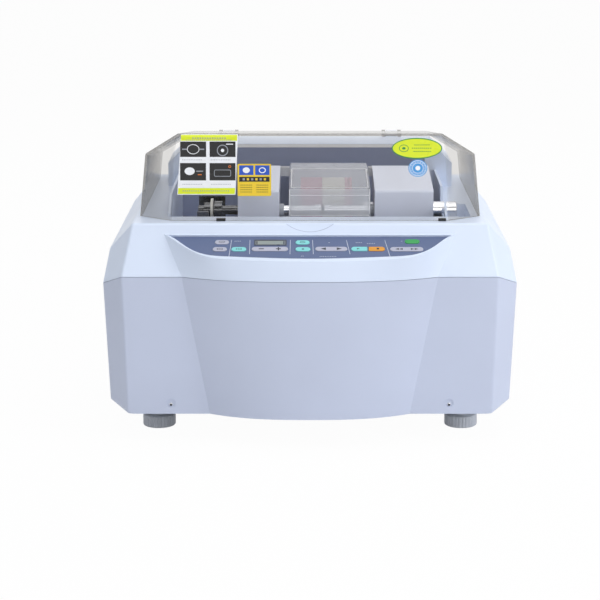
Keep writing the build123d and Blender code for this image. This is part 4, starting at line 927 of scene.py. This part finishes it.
def makeFoot(node):
    low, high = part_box(node)
    x, y = (low.x + high.x) / 2 / mm, (low.y + high.y) / 2 / mm
    r, top = (high.y - low.y) / 2 / mm, high.z / mm
    grip, edge, steps = footSettings["gripHeight"], footSettings["edge"], footSettings["edgeSteps"]
    collar, stem = footSettings["collar"], footSettings["stem"]
    neck = grip + footSettings["collarHeight"]
    # rows: height, radius, share of the rib depth
    rows = [(0.0, 0.5, 0.0), (0.0, r - edge, 0.0)]
    for k in range(1, steps + 1):
        a = math.pi / 2 * k / steps
        rows.append((edge * (1 - math.cos(a)), r - edge + edge * math.sin(a), k / steps))
    rows.append((grip / 2, r, 1.0))
    for k in range(steps, -1, -1):
        a = math.pi / 2 * k / steps
        rows.append((grip - edge * (1 - math.cos(a)), r - edge + edge * math.sin(a), k / steps))
    rows += [(grip, collar + 1.5, 0.0), (grip + 0.6, collar, 0.0), (neck - 1, collar, 0.0),
             (neck, collar - 1, 0.0), (neck, stem, 0.0), (top, stem, 0.0), (top, 0.5, 0.0)]
    around = footSettings["ribs"] * footSettings["steps"]
    builder = bmesh.new()
    rings = []
    for z, radius, share in rows:
        ring = []
        for k in range(around):
            a = 2 * math.pi * k / around
            wave = abs(math.sin(footSettings["ribs"] / 2 * a))
            here = radius - footSettings["ribDepth"] * share * (1 - wave) ** 1.5
            point = Vector((x + here * math.cos(a), y + here * math.sin(a), z))
            ring.append(builder.verts.new(point * mm))
        rings.append(ring)
    wrapRings(builder, rings)
    builder.faces.new(rings[0][::-1])
    builder.faces.new(rings[-1])
    foot = finishPiece("ribbed_" + node, builder, [finishes["foot_grey"]], node + "_body", smooth=True)
    foot.data.set_sharp_from_angle(angle=math.radians(40))
    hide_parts(node)


for part in frame["record"]["subparts"]:
    if part["material_slot"] == "foot_grey":
        makeFoot(part["node"])
print("feet are made")


# shares of the head's height or radius
screwSettings = {
    "straight": 0.45,          # height of the straight side
    "crown": 4.6,              # above 4 it leaves a flat on the dome
    "arm": 0.62,               # cross recess
    "slot": 0.2,
    "deep": 0.5,
    "steps": 24,
    "rearFrom": 0.2,           # metres; screws behind this face the other way
    "turns": (17, 31, 400),    # degrees of spin: first, for each kind of screw, for each metre of x
}


# lowest and highest corner of each loose solid of a node
def looseBoxes(node):
    builder = bmesh.new()
    builder.from_mesh(nodes[node].data)
    bmesh.ops.remove_doubles(builder, verts=builder.verts, dist=1e-6)
    left = set(builder.verts)
    boxes = []
    while left:
        queue, island = [left.pop()], []
        while queue:
            vert = queue.pop()
            island.append(vert.co.copy())
            for edge in vert.link_edges:
                other = edge.other_vert(vert)
                if other in left:
                    left.remove(other)
                    queue.append(other)
        boxes.append((Vector([min(c[i] for c in island) for i in range(3)]),
                      Vector([max(c[i] for c in island) for i in range(3)])))
    builder.free()
    return boxes


# domed head along -Y with a cross recess, its foot at y = 0
def screwHead(r, height):
    builder = bmesh.new()
    steps = screwSettings["steps"]
    rows = [(0.0, r), (height * screwSettings["straight"], r)]
    for k in range(1, 5):
        rise = screwSettings["straight"] + (1 - screwSettings["straight"]) * math.sin(math.pi / 2 * k / 4)
        rows.append((height * rise, r * math.cos(math.pi / 2 * k / screwSettings["crown"])))
    rings = []
    for y, radius in rows:
        rings.append([builder.verts.new((radius * math.cos(2 * math.pi * k / steps), -y,
                                         radius * math.sin(2 * math.pi * k / steps))) for k in range(steps)])
    wrapRings(builder, rings)
    builder.faces.new(rings[0])
    builder.faces.new(rings[-1])
    bmesh.ops.recalc_face_normals(builder, faces=builder.faces)
    mesh = bpy.data.meshes.new("screw blank")
    builder.to_mesh(mesh)
    builder.free()
    head = bpy.data.objects.new("screw blank", mesh)
    bpy.context.scene.collection.objects.link(head)
    cross = bmesh.new()
    arm, half, deep = r * screwSettings["arm"], r * screwSettings["slot"] / 2, height * screwSettings["deep"]
    outline = [(arm, -half), (arm, half), (half, half), (half, arm), (-half, arm), (-half, half),
               (-arm, half), (-arm, -half), (-half, -half), (-half, -arm), (half, -arm), (half, -half)]
    near = [cross.verts.new((x, -height - 0.001, z)) for x, z in outline]
    far = [cross.verts.new((x * 0.7, -height + deep, z * 0.7)) for x, z in outline]
    for k in range(12):
        n = (k + 1) % 12
        cross.faces.new((near[k], near[n], far[n], far[k]))
    cross.faces.new(near)
    cross.faces.new(far)
    bmesh.ops.recalc_face_normals(cross, faces=cross.faces)
    cutMesh = bpy.data.meshes.new("cross cutter")
    cross.to_mesh(cutMesh)
    cross.free()
    cutter = bpy.data.objects.new("cross cutter", cutMesh)
    bpy.context.scene.collection.objects.link(cutter)
    cut = head.modifiers.new("recess", "BOOLEAN")
    cut.object, cut.operation, cut.solver = cutter, "DIFFERENCE", "EXACT"
    bpy.context.view_layer.update()
    shaped = bpy.data.meshes.new_from_object(head.evaluated_get(bpy.context.evaluated_depsgraph_get()))
    for spare in (head, cutter):
        bpy.data.objects.remove(spare)
    return shaped


def makeScrews():
    builder = bmesh.new()
    heads = {}
    for low, high in looseBoxes("screws"):
        r, height = (high.x - low.x) / 2, high.y - low.y
        size = (round(r, 5), round(height, 5))
        if size not in heads:
            heads[size] = screwHead(r, height)
        rear = low.y > screwSettings["rearFrom"]
        foot = low.y if rear else high.y
        turn = Matrix.Rotation(math.pi if rear else 0, 4, "Z")
        first, each, along = screwSettings["turns"]
        spin = Matrix.Rotation(math.radians(first + each * len(heads) + along * low.x), 4, "Y")
        place = Matrix.Translation(((low.x + high.x) / 2, foot, (low.z + high.z) / 2)) @ turn @ spin
        before = len(builder.verts)
        builder.from_mesh(heads[size])
        builder.verts.ensure_lookup_table()
        for vert in builder.verts[before:]:
            vert.co = place @ vert.co
    piece = finishPiece("cross_screws", builder, [finishes["screw_steel"]], "housing")
    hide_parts("screws")


# frontOf is in metres, the rest in mm
dotSettings = {"frontOf": -0.15, "down": 0.5, "r": 1.6, "thick": 0.1}


# painted shadow: dark dots where the front screws' recesses lie in shade
def drawScrewDots():
    builder = bmesh.new()
    for low, high in looseBoxes("screws"):
        if low.y < dotSettings["frontOf"]:
            middle = Matrix.Translation(((low.x + high.x) / 2, low.y, (low.z + high.z) / 2))
            plane = middle @ Matrix.Rotation(math.pi / 2, 4, "X")
            dot = oval(0, -dotSettings["down"], dotSettings["r"], dotSettings["r"], 20)
            addPrism(builder, plane, dot, 0.0, dotSettings["thick"], 0)
    finishPiece("screw_shadow_dots", builder, [darkInkAndShade], "housing")


makeScrews()
drawScrewDots()
print("screws are made")
